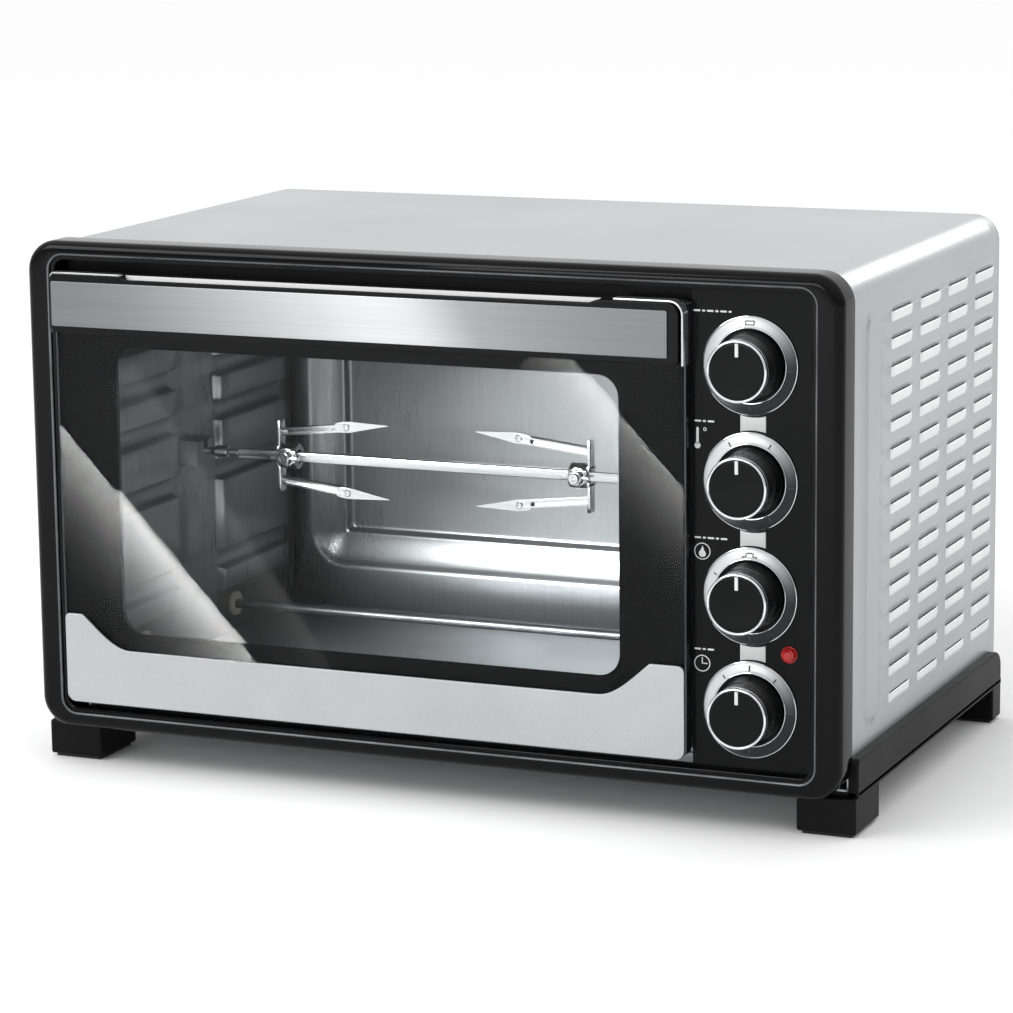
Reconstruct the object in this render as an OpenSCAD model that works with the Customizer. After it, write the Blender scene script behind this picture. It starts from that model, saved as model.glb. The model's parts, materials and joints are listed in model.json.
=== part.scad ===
// Countertop rotisserie oven, millimetres.
// Sizes inside the body are counted from the bezel: x from its middle, y back from its
// front face, z up from its bottom edge. body_frame() moves them to the part's own origin,
// which is in the middle of the outline at the height of the feet.

/* [Body] */
// Width of the front bezel
body_w = 550; // [500:5:660]
// Height of the front bezel
body_h = 320; // [315:5:390]
// Depth from the bezel's front face to the back edge of the casing
body_d = 340; // [280:5:420]
// Outer corner radius seen from the front
corner_r = 20; // [16:1:26]
// Height of the bezel's bottom edge above the table
foot_h = 26; // [20:1:40]
// Thickness of the casing and cavity sheet
sheet_t = 1; // [0.8:0.1:1.4]

/* [Front bezel] */
// Depth of the bezel
bezel_d = 23; // [20:1:30]
// Width of each side rim
rim_side = 20; // [18:1:26]
// Height of the top rim
rim_top = 12; // [11:1:16]
// Height of the bottom rim
rim_bottom = 13.5; // [12:0.5:16]
// Radius of the rounded outer front edge
bezel_edge_r = 6.5; // [4:0.5:8]
// Corner radius of the front opening
opening_r = 7; // [6:0.5:7.5]
// Width of the shallow step round the opening
step_w = 3; // [2:0.5:4]
// Depth of that step
step_d = 2; // [1:0.5:4]

/* [Casing] */
// How far the casing sits inside the bezel's outline
casing_inset = 2.5; // [1:0.5:4]
// Length of one louvre
louvre_l = 42; // [30:1:46]
// Height of one louvre
louvre_h = 6.5; // [5:0.5:8]
// Spacing of the louvre columns
louvre_pitch_y = 60.5; // [52:0.5:70]
// Spacing of the louvre rows
louvre_pitch_z = 17.15; // [14:0.05:20]
// How far a louvre's lower lip stands out
louvre_out = 2.4; // [1.5:0.1:3]
// Sheet left between the last louvre and the casing's back edge
louvre_back = 13.5; // [10:0.5:20]
// Width of the upright bead behind the bezel
bead_w = 28; // [20:1:32]
// Height of that bead above the sheet
bead_out = 1.2; // [0.8:0.1:2]
// Distance from the bezel's back to the bead
bead_gap = 29; // [20:1:32]
// How far the rear spacers stand behind the rear cover
spacer_out = 5; // [3:1:10]

/* [Door] */
// Width of the control panel beside the door
panel_w = 77; // [72:1:84]
// Side gap of the door
door_gap = 1; // [0.8:0.1:1.5]
// Height of the door's bottom edge above the bottom rim
door_lift = 4.8; // [4.6:0.1:6]
// Gap between the door's top and the top rim
door_top_gap = 6.5; // [4:0.5:10]
// Thickness of the door behind the bezel's front face
door_t = 14; // [14:0.5:15]
// Thickness of the glass
glass_t = 3; // [2.6:0.1:3]
// Thickness of the black printed border
mask_t = 0.3; // [0.2:0.1:0.3]
// Clear window: distance from the door's left edge
window_left = 41; // [35:1:50]
// Clear window: distance from the door's right edge
window_right = 45; // [35:1:55]
// Clear window: height of its bottom edge above the door's bottom
window_bottom = 48; // [44:1:60]
// Clear window: distance from the handle's bottom edge
window_top = 9; // [8:1:16]
// Corner radius of the clear window
window_r = 14; // [8:1:20]
// Height of the handle band
handle_h = 38; // [34:1:44]
// How far the handle body stands out of the bezel's front face
handle_out = 6; // [5:0.5:10]
// Height of the brushed plate on the handle
plate_h = 29; // [24:1:32]
// Thickness of that plate
plate_t = 1.2; // [0.8:0.1:1.6]
// Height of the lower trim between its raised ends
trim_h = 36.7; // [30:0.1:42]
// Height of the lower trim at its ends
trim_end_h = 58.7; // [50:0.1:66]
// Thickness of the lower trim
trim_t = 1.3; // [1:0.1:1.6]
// Thickness of the bright strip on the door's edge
strip_t = 1.5; // [1:0.1:2]
// Radius of a hinge pin
hinge_pin_r = 1.9; // [1.7:0.1:2]

/* [Controls] */
// How far the panel lies behind the bezel's front face
panel_recess = 8; // [6:0.5:10]
// Thickness of the control panel
panel_t = 2.5; // [2:0.1:3]
// How far the knobs stand out of the bezel's front face
knob_out = 18; // [14:1:22]
// Radius of a knob at its front
knob_r = 18.9; // [16:0.1:20]
// Radius of a knob's skirt
knob_skirt_r = 21; // [20.5:0.1:21.8]
// Outer radius of a dial ring
dial_r = 30.2; // [28:0.1:31]
// Inner radius of a dial ring
dial_inner_r = 22.4; // [22:0.1:23.5]
// Height of a dial ring above the panel
dial_out = 2.2; // [1.5:0.1:3]
// Height of the lowest knob above the panel's bottom
dial_low = 38.5; // [34:0.5:42]
// Distance from the top knob to the panel's top
dial_high = 45.3; // [34:0.1:50]
// Distance from the knobs' middle to the panel's right edge
dial_side = 40; // [36:0.5:42]
// Radius of a control spindle
spindle_r = 3; // [2.5:0.1:3.5]
// Radius of the pilot lamp
lamp_r = 5.2; // [4:0.1:6]

/* [Cavity] */
// Distance from the opening's left edge to the cavity
cavity_left = 12; // [10:1:20]
// Distance from the panel's left edge to the cavity
cavity_right = 6; // [5:1:10]
// Height of the cavity floor
cavity_low = 20; // [18:1:26]
// Distance from the opening's top edge to the ceiling
cavity_high = 13; // [12:1:20]
// Distance from the cavity's back wall to the casing's back edge
cavity_rear = 27; // [24:1:40]
// How far the rack pads stand into the cavity
pad_out = 7; // [5:0.5:9]
// Height of a rack groove between two pads
groove_h = 9; // [7:0.5:12]
// Depth of the first step of the back wall's pressing
press_1 = 8; // [5:0.5:9]
// Depth of the second step
press_2 = 6; // [4:0.5:8]
// Radius of a heater tube
heater_r = 3.3; // [3:0.1:4.2]
// Distance of each heater from the spit, front to back
heater_spread = 66; // [60:1:80]
// Height of the lower heaters above the floor
heater_low = 19; // [16:1:24]
// Depth of the upper heaters below the ceiling
heater_high = 22; // [18:1:28]

/* [Spit] */
// Distance from the bezel's front face to the spit
spit_back = 150; // [140:1:165]
// Height of the spit above the bezel's bottom edge
spit_up = 160.5; // [150:0.5:175]
// Width of the square spit bar
spit_w = 6.5; // [5:0.1:8]
// Distance from the cavity's left wall to the left fork
fork_left = 80; // [60:1:110]
// Distance from the cavity's right wall to the right fork
fork_right = 124; // [90:1:140]
// Length of a fork's prongs from its hub
prong_l = 74; // [60:1:85]
// Distance of a prong's tip from the spit's axis
prong_rise = 25; // [20:0.5:30]

/* [Fits] */
// Radial clearance of a turning pin or spindle
run_fit = 0.05; // [0.02:0.01:0.1]
// Clearance between pieces that are only put together
loose_fit = 0.2; // [0.1:0.05:0.3]

/* [Hidden] */
$fn = 64;
eps = 0.01;

// Outline
cover_t = 1.2;
total_d = knob_out + body_d + cover_t + spacer_out;
front_y = knob_out - total_d / 2;

// Front opening, door and panel
open_x = body_w / 2 - rim_side;
open_z0 = rim_bottom;
open_z1 = body_h - rim_top;
split_x = open_x - panel_w;
door_x0 = -open_x + door_gap;
door_x1 = split_x - door_gap;
door_z0 = open_z0 + door_lift;
door_z1 = open_z1 - door_top_gap;
door_r = 6;
edge_r = 9;
door_face = 0.5;
mask_y = door_face + glass_t;
frame_y = mask_y + mask_t;
glass_x1 = door_x1 - strip_t;
glass_z1 = door_z1 - strip_t - handle_h;
window_x0 = door_x0 + window_left;
window_x1 = door_x1 - window_right;
window_z0 = door_z0 + window_bottom;
window_z1 = glass_z1 - window_top;

// Hinge
hinge_ear_r = hinge_pin_r + 1.4;
hinge_y = frame_y + hinge_ear_r + 0.3;
hinge_z = door_z0 + 7.7;
frame_z0 = door_z0 + 3.2;
pocket_w = 12;
pocket_top = hinge_z + 12;
pocket_in = 4;
ear_t = 3;

// Panel and knobs
panel_y = panel_recess;
dial_x = open_x - dial_side;
dial_count = 4;
dial_pitch = (open_z1 - open_z0 - dial_low - dial_high) / (dial_count - 1);
function dial_z(i) = open_z0 + dial_low + i * dial_pitch;
timer_i = 0;
selector_i = 1;
temperature_i = 2;
function_i = 3;
knob_len = knob_out + panel_recess;
knob_gap = 0.5;
knob_ring_d = 4;
knob_ring_w = 1.9;
knob_bore_d = 18;
chassis_t = 1.2;
chassis_y = panel_y + panel_t + 8.5;
switch_y = chassis_y + chassis_t;
lamp_x = open_x - 15;
lamp_z = (dial_z(timer_i) + dial_z(selector_i)) / 2 + 1;
lamp_out = 5;

// Casing
casing_x = body_w / 2 - casing_inset;
casing_top = body_h - casing_inset;
casing_r = corner_r - casing_inset;
casing_low = 2;
base_t = 1.2;
bead_y = bezel_d + bead_gap + bead_w / 2;
louvre_first = bezel_d + bead_gap + bead_w + 15;
louvre_last = body_d - louvre_back;
louvre_cols = floor((louvre_last - louvre_first + louvre_pitch_y - louvre_l) / louvre_pitch_y);
louvre_mid_z = body_h / 2 + 1.5;
louvre_rows = floor((body_h - 62 + louvre_pitch_z - louvre_h) / louvre_pitch_z);
function louvre_y(i) = louvre_last - louvre_l / 2 - i * louvre_pitch_y;
function louvre_z(j) = louvre_mid_z + (j - (louvre_rows - 1) / 2) * louvre_pitch_z;

// Cavity
cavity_x0 = -open_x + cavity_left;
cavity_x1 = split_x - cavity_right;
cavity_z0 = cavity_low;
cavity_z1 = open_z1 - cavity_high;
cavity_y0 = door_t + 2;
cavity_y1 = body_d - cavity_rear;
heater_zs = [cavity_z0 + heater_low, cavity_z1 - heater_high];
heater_ys = [spit_back - heater_spread, spit_back + heater_spread];
heater_past = 14;
insulator_r = 8.5;
insulator_neck_r = 6.4;
insulator_t = 3;
pad_front = [cavity_y0 + 14, spit_back - 20];
pad_rear = [spit_back + 40, cavity_y1 - 21];
groove_ups = [27, 56, 119, 161, 192];
rack_up = 220;
function pad_z0(i) = cavity_z0 + groove_ups[i] + groove_h / 2;
function pad_z1(i) = i + 1 < len(groove_ups) ? cavity_z0 + groove_ups[i + 1] - groove_h / 2
    : cavity_z0 + rack_up;
press_margin = 15;
press_rise = 30;
press_r = 24;
press_band = 24;

// Spit
socket_l = 20;
socket_r = 9;
stub_r = 5;
stub_l = 17;
motor_r = 26;
motor_l = 24;
bracket_l = 16;
bracket_w = 26;
bracket_t = 1.2;
neck_r = 2.6;
hub_r = 8.5;
hub_l = 13;
screw_r = 2;
fork_t = 2.4;
left_hub_x = cavity_x0 + fork_left;
right_hub_x = cavity_x1 - fork_right;

// Fan
fan_z = spit_up;
fan_r = 48;
fan_case_r = 56;
fan_y = spit_back + motor_r + fan_case_r + 8;
fan_case_d = 22;
fan_shaft_r = 3;

// Feet
leg_w = 38;
leg_front = [18, 66];
leg_rear = [body_d - 22, body_d - 2];
runner_out = 6.5;
runner_top = 22;
pad_t = 2;

// Moves a shape from the bezel's corner values to the part's own origin
module body_frame() translate([0, front_y, foot_h]) children();

// Extrudes a shape drawn in x and z from depth y0 to depth y1
module slab(y0, y1) translate([0, y1, 0]) rotate([90, 0, 0]) linear_extrude(y1 - y0) children();

// Rectangle with rounded corners, given by its sides
module rrect(x0, x1, z0, z1, r) {
    translate([x0 + r, z0]) square([x1 - x0 - 2 * r, z1 - z0]);
    translate([x0, z0 + r]) square([x1 - x0, z1 - z0 - 2 * r]);
    for (x = [x0 + r, x1 - r], z = [z0 + r, z1 - r]) translate([x, z]) circle(r);
}

// Box given by its low and high corners
module box(a, b) translate(a) cube(b - a);

// Round bar along x, y (pointing back) and -y (pointing forward)
module bar_x(x0, x1, r) translate([x0, 0, 0]) rotate([0, 90, 0]) cylinder(h = x1 - x0, r = r);
module bar_y(y0, y1, r) translate([0, y0, 0]) rotate([-90, 0, 0]) cylinder(h = y1 - y0, r = r);

// Turns an outline of radius and height so that its height points to the front
module facing() rotate([90, 0, 0]) rotate_extrude() children();

module at_dial(i) translate([dial_x, 0, dial_z(i)]) children();
module at_spit() translate([0, spit_back, spit_up]) children();
module at_fan() translate([cavity_x1 + sheet_t, fan_y, fan_z]) children();
module both_sides() for (s = [0, 1]) mirror([s, 0, 0]) children();

/* Casing */

module casing_outline(inset) {
    r = casing_r - inset;
    intersection() {
        rrect(-casing_x + inset, casing_x - inset, -4 * r, casing_top - inset, r);
        translate([-body_w, casing_low]) square([2 * body_w, 2 * body_h]);
    }
}

// Upright stadium shape, drawn in depth and height
module bead_outline(w, z0, z1) {
    translate([-w / 2, z0 + w / 2]) square([w, z1 - z0 - w]);
    for (z = [z0 + w / 2, z1 - w / 2]) translate([0, z]) circle(w / 2);
}

module louvre_slot() box([-2 * sheet_t, -louvre_l / 2 + sheet_t, -louvre_h / 2],
    [sheet_t, louvre_l / 2 - sheet_t, louvre_h / 2 - sheet_t]);

module louvre_hood() {
    h = louvre_h / 2;
    translate([0, louvre_l / 2, 0]) rotate([90, 0, 0]) linear_extrude(louvre_l)
        polygon([[-eps, h], [-eps, h - 1.4], [louvre_out - 0.8, -h], [louvre_out, -h],
            [louvre_out, 1 - h]]);
    for (y = [-louvre_l / 2, louvre_l / 2 - sheet_t]) translate([0, y + sheet_t, 0])
        rotate([90, 0, 0]) linear_extrude(sheet_t)
            polygon([[-eps, h], [louvre_out, 1 - h], [louvre_out, -h], [-eps, -h]]);
}

module outer_casing() color("#c9cacc") body_frame() {
    difference() {
        slab(bezel_d, body_d) difference() {
            casing_outline(0);
            casing_outline(sheet_t);
            translate([-casing_x + sheet_t, 0]) square([2 * (casing_x - sheet_t), body_h / 2]);
        }
        both_sides() for (i = [0:louvre_cols - 1], j = [0:louvre_rows - 1])
            translate([casing_x, louvre_y(i), louvre_z(j)]) louvre_slot();
    }
    both_sides() {
        for (i = [0:louvre_cols - 1], j = [0:louvre_rows - 1])
            translate([casing_x, louvre_y(i), louvre_z(j)]) louvre_hood();
        translate([casing_x - eps, bead_y, 0]) rotate([90, 0, 90])
            linear_extrude(bead_out + eps) bead_outline(bead_w, 34, body_h - 29);
    }
}

rear_screw_x = casing_x - 14;
rear_screw_zs = [16, body_h / 2, body_h - 24];
gland_x = casing_x - 60;
gland_z = 44;
gland_r = 8;

module at_rear_screws() for (s = [-1, 1], z = rear_screw_zs)
    translate([s * rear_screw_x, body_d, z]) children();

module rear_cover() color("#b4b6b8") body_frame() difference() {
    union() {
        slab(body_d, body_d + cover_t) casing_outline(0);
        for (s = [-1, 1], z = [body_h * 0.27, body_h * 0.8])
            translate([s * body_w * 0.3, 0, z]) bar_y(body_d + cover_t - eps,
                body_d + cover_t + spacer_out, 9);
    }
    at_rear_screws() bar_y(-1, cover_t + 1, 2.1);
    translate([gland_x, 0, gland_z]) bar_y(body_d - 1, body_d + 9, gland_r);
    for (i = [0:11], s = [-1, 1]) box([s * 110 - 45, body_d - 1, body_h / 2 - 55 + i * 10],
        [s * 110 + 45, body_d + cover_t + 1, body_h / 2 - 51 + i * 10]);
}

module base_plate() color("#a9abad") body_frame() difference() {
    box([-casing_x + sheet_t, bezel_d, casing_low],
        [casing_x - sheet_t, body_d, casing_low + base_t]);
    for (i = [0:7], s = [-1, 1]) box([s * 90 - 40, 90 + i * 20, 0],
        [s * 90 + 40, 96 + i * 20, casing_low + base_t + 1]);
}

/* Front */

module bezel_block() hull() for (s = [-1, 1], z = [corner_r, body_h - corner_r])
    translate([s * (body_w / 2 - corner_r), 0, z]) rotate([-90, 0, 0])
        rotate_extrude($fn = 32) {
            translate([0, bezel_edge_r]) square([corner_r, bezel_d - bezel_edge_r]);
            square([corner_r - bezel_edge_r, bezel_d]);
            intersection() {
                translate([corner_r - bezel_edge_r, bezel_edge_r]) circle(bezel_edge_r);
                square(2 * corner_r);
            }
        }

module front_bezel() color("#131315") body_frame() difference() {
    bezel_block();
    slab(-1, bezel_d + 1) rrect(-open_x, open_x, open_z0, open_z1, opening_r);
    slab(-1, step_d) rrect(-open_x - step_w, open_x + step_w, open_z0 - step_w,
        open_z1 + step_w, opening_r + step_w);
}

module control_panel() color("#17171a") body_frame() difference() {
    slab(panel_y, panel_y + panel_t) intersection() {
        rrect(-open_x, open_x, open_z0, open_z1, opening_r);
        translate([split_x, 0]) square([body_w, body_h]);
    }
    for (i = [0:dial_count - 1]) at_dial(i) bar_y(0, bezel_d, spindle_r + 1);
    translate([lamp_x, 0, lamp_z]) bar_y(0, bezel_d, lamp_r - 1 + loose_fit);
}

module dial_rings() color("#c4c6c9") body_frame() for (i = [0:dial_count - 1])
    at_dial(i) translate([0, panel_y, 0]) facing() polygon([[dial_inner_r, 0],
        [dial_inner_r, dial_out - 0.2], [dial_inner_r + 0.8, dial_out],
        [dial_r - 0.8, dial_out - 0.6], [dial_r, dial_out - 1.2], [dial_r, 0]]);

module pilot_lamp_lens() color("#b01818") body_frame() translate([lamp_x, panel_y, lamp_z])
    rotate([90, 0, 0]) {
        cylinder(h = 1.2, r = lamp_r);
        translate([0, 0, 1]) cylinder(h = lamp_out - 1, r1 = lamp_r - 0.2, r2 = 2.2, $fn = 8);
    }

module pilot_lamp_holder() color("#e4e0d6") body_frame() translate([lamp_x, 0, lamp_z]) {
    bar_y(panel_y, panel_y + 7, lamp_r - 1);
    bar_y(panel_y + 7 - eps, chassis_y - 0.5, lamp_r - 2);
}

module control_chassis() color("#9fa2a5") body_frame() difference() {
    x0 = split_x + 3;
    x1 = open_x - 3;
    z0 = open_z0 + 3;
    z1 = open_z1 - 3;
    union() {
        box([x0, chassis_y, z0], [x1, chassis_y + chassis_t, z1]);
        for (x = [x0, x1 - chassis_t]) box([x, chassis_y, z0], [x + chassis_t, chassis_y + 12, z1]);
    }
    for (i = [0:dial_count - 1]) at_dial(i) bar_y(0, body_d, spindle_r + 2);
}

/* Controls behind the panel */

module spindle_bore() bar_y(0, body_d, spindle_r + run_fit);

module rotary_switch(layers) difference() {
    union() {
        box([-20, switch_y, -20], [20, switch_y + 5, 20]);
        for (k = [0:layers - 1]) bar_y(switch_y + 5 + k * 7 - eps, switch_y + 11 + k * 7, 18);
        bar_y(switch_y + 5, switch_y + 5 + layers * 7, 14);
        for (a = [45:90:315]) rotate([0, a, 0]) translate([15, 0, 0])
            box([-1.5, switch_y + 5, -3], [8, switch_y + 6.2, 3]);
    }
    spindle_bore();
}

module function_switch() color("#4a3b2c") body_frame() at_dial(function_i) rotary_switch(3);
module selector_switch() color("#4a3b2c") body_frame() at_dial(selector_i) rotary_switch(4);

module thermostat() color("#b9b9b4") body_frame() at_dial(temperature_i) difference() {
    union() {
        box([-17, switch_y, -14], [17, switch_y + 2, 14]);
        bar_y(switch_y + 2 - eps, switch_y + 16, 16);
        box([-9, switch_y + 16 - eps, -12], [9, switch_y + 24, 12]);
    }
    spindle_bore();
}

module timer_mechanism() color("#b8a46a") body_frame() at_dial(timer_i) difference() {
    union() {
        box([-24, switch_y, -22], [24, switch_y + 1.5, 22]);
        for (x = [-20, 20], z = [-18, 18]) translate([x, 0, z])
            bar_y(switch_y + 1.5 - eps, switch_y + 22, 2);
        bar_y(switch_y + 3, switch_y + 19, 15);
        box([-24, switch_y + 22 - eps, -22], [24, switch_y + 23.5, 22]);
        box([-20, switch_y + 1.5 - eps, -3], [20, switch_y + 22, 3]);
    }
    spindle_bore();
}

probe_z = cavity_z1 - 11;
probe_ys = [150, 205];

module thermostat_probe() color("#b87333") body_frame() {
    x = cavity_x1 - 7;
    translate([x, 0, probe_z]) bar_y(probe_ys[0], probe_ys[1], 2.4);
    translate([0, probe_ys[0] + 3, probe_z]) bar_x(x, cavity_x1 + 22, 1);
    translate([cavity_x1 + 22, probe_ys[0] + 3, probe_z]) sphere(1.2);
    translate([cavity_x1 + 22, 0, probe_z]) bar_y(60, probe_ys[0] + 3, 1);
}

/* Knobs */

module knob(i) body_frame() at_dial(i) translate([0, panel_y, 0]) difference() {
    facing() polygon([[spindle_r, knob_gap], [knob_skirt_r, knob_gap], [knob_skirt_r, 3],
        [knob_r + 0.6, 6], [knob_r, 9], [knob_r, knob_len - knob_ring_d],
        [knob_r - knob_ring_w, knob_len - knob_ring_d],
        [knob_r - knob_ring_w, knob_len - 1], [knob_r - knob_ring_w - 1.5, knob_len - 0.5],
        [0, knob_len - 0.5], [0, knob_bore_d], [spindle_r, knob_bore_d]]);
    box([-1.3, -knob_len, knob_r - 11], [1.3, -knob_len + 1, knob_r - 3]);
}

module knob_ring(i) body_frame() at_dial(i) translate([0, panel_y, 0]) facing()
    polygon([[knob_r - knob_ring_w, knob_len - knob_ring_d], [knob_r, knob_len - knob_ring_d],
        [knob_r, knob_len - 1], [knob_r - 0.6, knob_len], [knob_r - knob_ring_w + 0.4, knob_len],
        [knob_r - knob_ring_w, knob_len - 0.4]]);

module spindle(i) body_frame() at_dial(i)
    bar_y(panel_y - knob_bore_d, switch_y + 12, spindle_r);

module function_knob() color("#101012") knob(function_i);
module temperature_knob() color("#101012") knob(temperature_i);
module selector_knob() color("#101012") knob(selector_i);
module timer_knob() color("#101012") knob(timer_i);
module function_knob_ring() color("#dcdde0") knob_ring(function_i);
module temperature_knob_ring() color("#dcdde0") knob_ring(temperature_i);
module selector_knob_ring() color("#dcdde0") knob_ring(selector_i);
module timer_knob_ring() color("#dcdde0") knob_ring(timer_i);
module function_spindle() color("#8f9194") spindle(function_i);
module temperature_spindle() color("#8f9194") spindle(temperature_i);
module selector_spindle() color("#8f9194") spindle(selector_i);
module timer_spindle() color("#8f9194") spindle(timer_i);

/* Cavity */

module heater_holes(r) for (y = heater_ys, z = heater_zs) translate([0, y, z])
    bar_x(-body_w, body_w, r);

// Rack pads of the left wall, standing towards +x from x = 0
module rack_pads() for (span = [pad_front, pad_rear], i = [0:len(groove_ups) - 1])
    box([-eps, span[0], pad_z0(i)], [pad_out, span[1], pad_z1(i)]);

module cavity_left_wall() color("#8d8f92") body_frame() difference() {
    union() {
        box([cavity_x0 - sheet_t, cavity_y0, cavity_z0], [cavity_x0, cavity_y1, cavity_z1]);
        box([-open_x, cavity_y0, cavity_z0], [cavity_x0 - sheet_t + eps, cavity_y0 + sheet_t, cavity_z1]);
        translate([cavity_x0, 0, 0]) rack_pads();
    }
    heater_holes(insulator_neck_r + 0.1);
}

module cavity_right_wall() color("#8d8f92") body_frame() difference() {
    union() {
        box([cavity_x1, cavity_y0, cavity_z0], [cavity_x1 + sheet_t, cavity_y1, cavity_z1]);
        box([cavity_x1 + sheet_t - eps, cavity_y0, cavity_z0], [split_x, cavity_y0 + sheet_t, cavity_z1]);
        difference() {
            translate([cavity_x1, 0, 0]) mirror([1, 0, 0]) rack_pads();
            at_fan() bar_x(-20, 1, fan_case_r - 2);
        }
    }
    heater_holes(insulator_neck_r + 0.1);
    at_spit() bar_x(0, body_w, stub_r + run_fit);
    for (n = [1:4]) for (k = [0:n * 6 - 1]) at_fan() rotate([k * 60 / n, 0, 0])
        translate([0, 0, n * 9.5]) bar_x(-pad_out - 5, 5, 2.4);
    translate([0, probe_ys[0] + 3, probe_z]) bar_x(0, body_w, 1.3);
}

module press_outline(inset) rrect(cavity_x0 + press_margin + inset, cavity_x1 - press_margin - inset,
    cavity_z0 + press_rise + inset, cavity_z1 - press_rise - inset, press_r - inset / 2);

module cavity_back_wall() color("#96989b") body_frame() {
    y1 = cavity_y1;
    y2 = y1 + press_1;
    y3 = y2 + press_2;
    slab(y1, y1 + sheet_t) difference() {
        translate([cavity_x0 - sheet_t, cavity_z0 - sheet_t])
            square([cavity_x1 - cavity_x0 + 2 * sheet_t, cavity_z1 - cavity_z0 + 2 * sheet_t]);
        press_outline(0);
    }
    slab(y1, y2) difference() {
        press_outline(-sheet_t);
        press_outline(0);
    }
    slab(y2 - eps, y2 + sheet_t) difference() {
        press_outline(-sheet_t);
        press_outline(press_band);
    }
    slab(y2, y3) difference() {
        press_outline(press_band - sheet_t);
        press_outline(press_band);
    }
    slab(y3 - eps, y3 + sheet_t) press_outline(press_band - sheet_t);
}

module cavity_ceiling() color("#8d8f92") body_frame() {
    box([cavity_x0 - sheet_t, cavity_y0, cavity_z1], [cavity_x1 + sheet_t, cavity_y1, cavity_z1 + sheet_t]);
    box([-open_x + opening_r, cavity_y0, cavity_z1 + sheet_t - eps],
        [split_x, cavity_y0 + sheet_t, open_z1 - 1]);
}

module cavity_floor() color("#8d8f92") body_frame() {
    box([cavity_x0 - sheet_t, cavity_y0, cavity_z0 - sheet_t], [cavity_x1 + sheet_t, cavity_y1, cavity_z0]);
    box([-open_x + opening_r, cavity_y0, open_z0], [split_x, cavity_y0 + sheet_t, cavity_z0 - sheet_t + eps]);
}

module heater_pair(z) body_frame() for (y = heater_ys) translate([0, y, z])
    bar_x(cavity_x0 - heater_past, cavity_x1 + heater_past, heater_r);

module upper_heaters() color("#5d5f62") heater_pair(heater_zs[1]);
module lower_heaters() color("#5d5f62") heater_pair(heater_zs[0]);

module insulator() difference() {
    union() {
        bar_x(0, insulator_t, insulator_r);
        bar_x(-sheet_t - eps, eps, insulator_neck_r);
        bar_x(-sheet_t - 6, -sheet_t, insulator_r - 1);
    }
    bar_x(-20, 20, heater_r + run_fit);
}

module heater_insulators() color("#e9e5da") body_frame() for (y = heater_ys, z = heater_zs) {
    translate([cavity_x0, y, z]) insulator();
    translate([cavity_x1, y, z]) mirror([1, 0, 0]) insulator();
}

/* Spit and its drive */

module spit_bracket() color("#bcbec0") body_frame() translate([cavity_x0, 0, 0]) at_spit() difference() {
    box([0, -bracket_w / 2, -9], [bracket_l, bracket_w / 2, 8]);
    box([bracket_t, -bracket_w / 2 + bracket_t, -9 + bracket_t],
        [bracket_l - bracket_t, bracket_w / 2 - bracket_t, 20]);
    bar_x(bracket_t + 1, bracket_l + 5, neck_r + run_fit);
    box([bracket_t + 1, -neck_r - run_fit, 0], [bracket_l + 5, neck_r + run_fit, 20]);
}

module spit_shaft() color("#c9cbce") body_frame() at_spit() translate([cavity_x0, 0, 0]) {
    rotate([0, 90, 0]) rotate_extrude() polygon([[0, 4], [0.6, 4], [3.4, 10], [3.4, 12],
        [neck_r, 12.5], [neck_r, 20], [3.2, 21], [3.6, 22.5], [3.2, 24], [4.2, 24.6], [4.2, 33],
        [2.4, 33.5], [2.4, 41], [0, 41]]);
    box([41 - eps, -spit_w / 2, -spit_w / 2], [cavity_x1 - cavity_x0 - 4, spit_w / 2, spit_w / 2]);
}

module square_bore(x0, x1) {
    h = spit_w / 2 + loose_fit;
    box([x0, -h, -h], [x1, h, h]);
}

// Outline of one prong, from the hub's side to the point, above the axis
module prong_outline() polygon([[0, 5], [0, 19], [6.5, 19], [8, 15], [16, 15], [26, 17.5],
    [prong_l * 0.55, prong_rise - 2], [prong_l * 0.62, prong_rise + 1.5], [prong_l, prong_rise],
    [prong_l * 0.62, prong_rise - 6], [prong_l * 0.5, prong_rise - 6], [28, 13], [17, 10.5], [9, 5]]);

module fork() difference() {
    union() {
        bar_x(-hub_l / 2, hub_l / 2, hub_r);
        for (s = [0, 1]) mirror([0, 0, s]) slab(-fork_t / 2, fork_t / 2) difference() {
            prong_outline();
            translate([prong_l * 0.6, prong_rise - 2.5]) circle(1.3);
        }
    }
    square_bore(-hub_l, hub_l);
    bar_y(-hub_r - 5, 0, screw_r + run_fit);
    box([-hub_l, -3 * hub_r, -3 * hub_r], [hub_l, -hub_r + 1.2, 3 * hub_r]);
}

module fork_screw() {
    y0 = -hub_r + 1.2;
    bar_y(y0 - 1, -spit_w / 2 - loose_fit, screw_r);
    translate([0, y0, 0]) rotate([90, 0, 0]) cylinder(h = 5, r = 5.5, $fn = 6);
    translate([0, y0 - 5 + eps, 0]) rotate([90, 0, 0]) cylinder(h = 2, r = 3.6);
    box([-10, y0 - 4, -1.1], [10, y0 - 1, 1.1]);
}

module left_fork() color("#c4c6c9") body_frame() translate([left_hub_x, 0, 0]) at_spit() fork();
module right_fork() color("#c4c6c9") body_frame() translate([right_hub_x, 0, 0]) at_spit()
    mirror([1, 0, 0]) fork();
module left_fork_screw() color("#a7a9ac") body_frame() translate([left_hub_x, 0, 0]) at_spit() fork_screw();
module right_fork_screw() color("#a7a9ac") body_frame() translate([right_hub_x, 0, 0]) at_spit() fork_screw();

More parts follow.
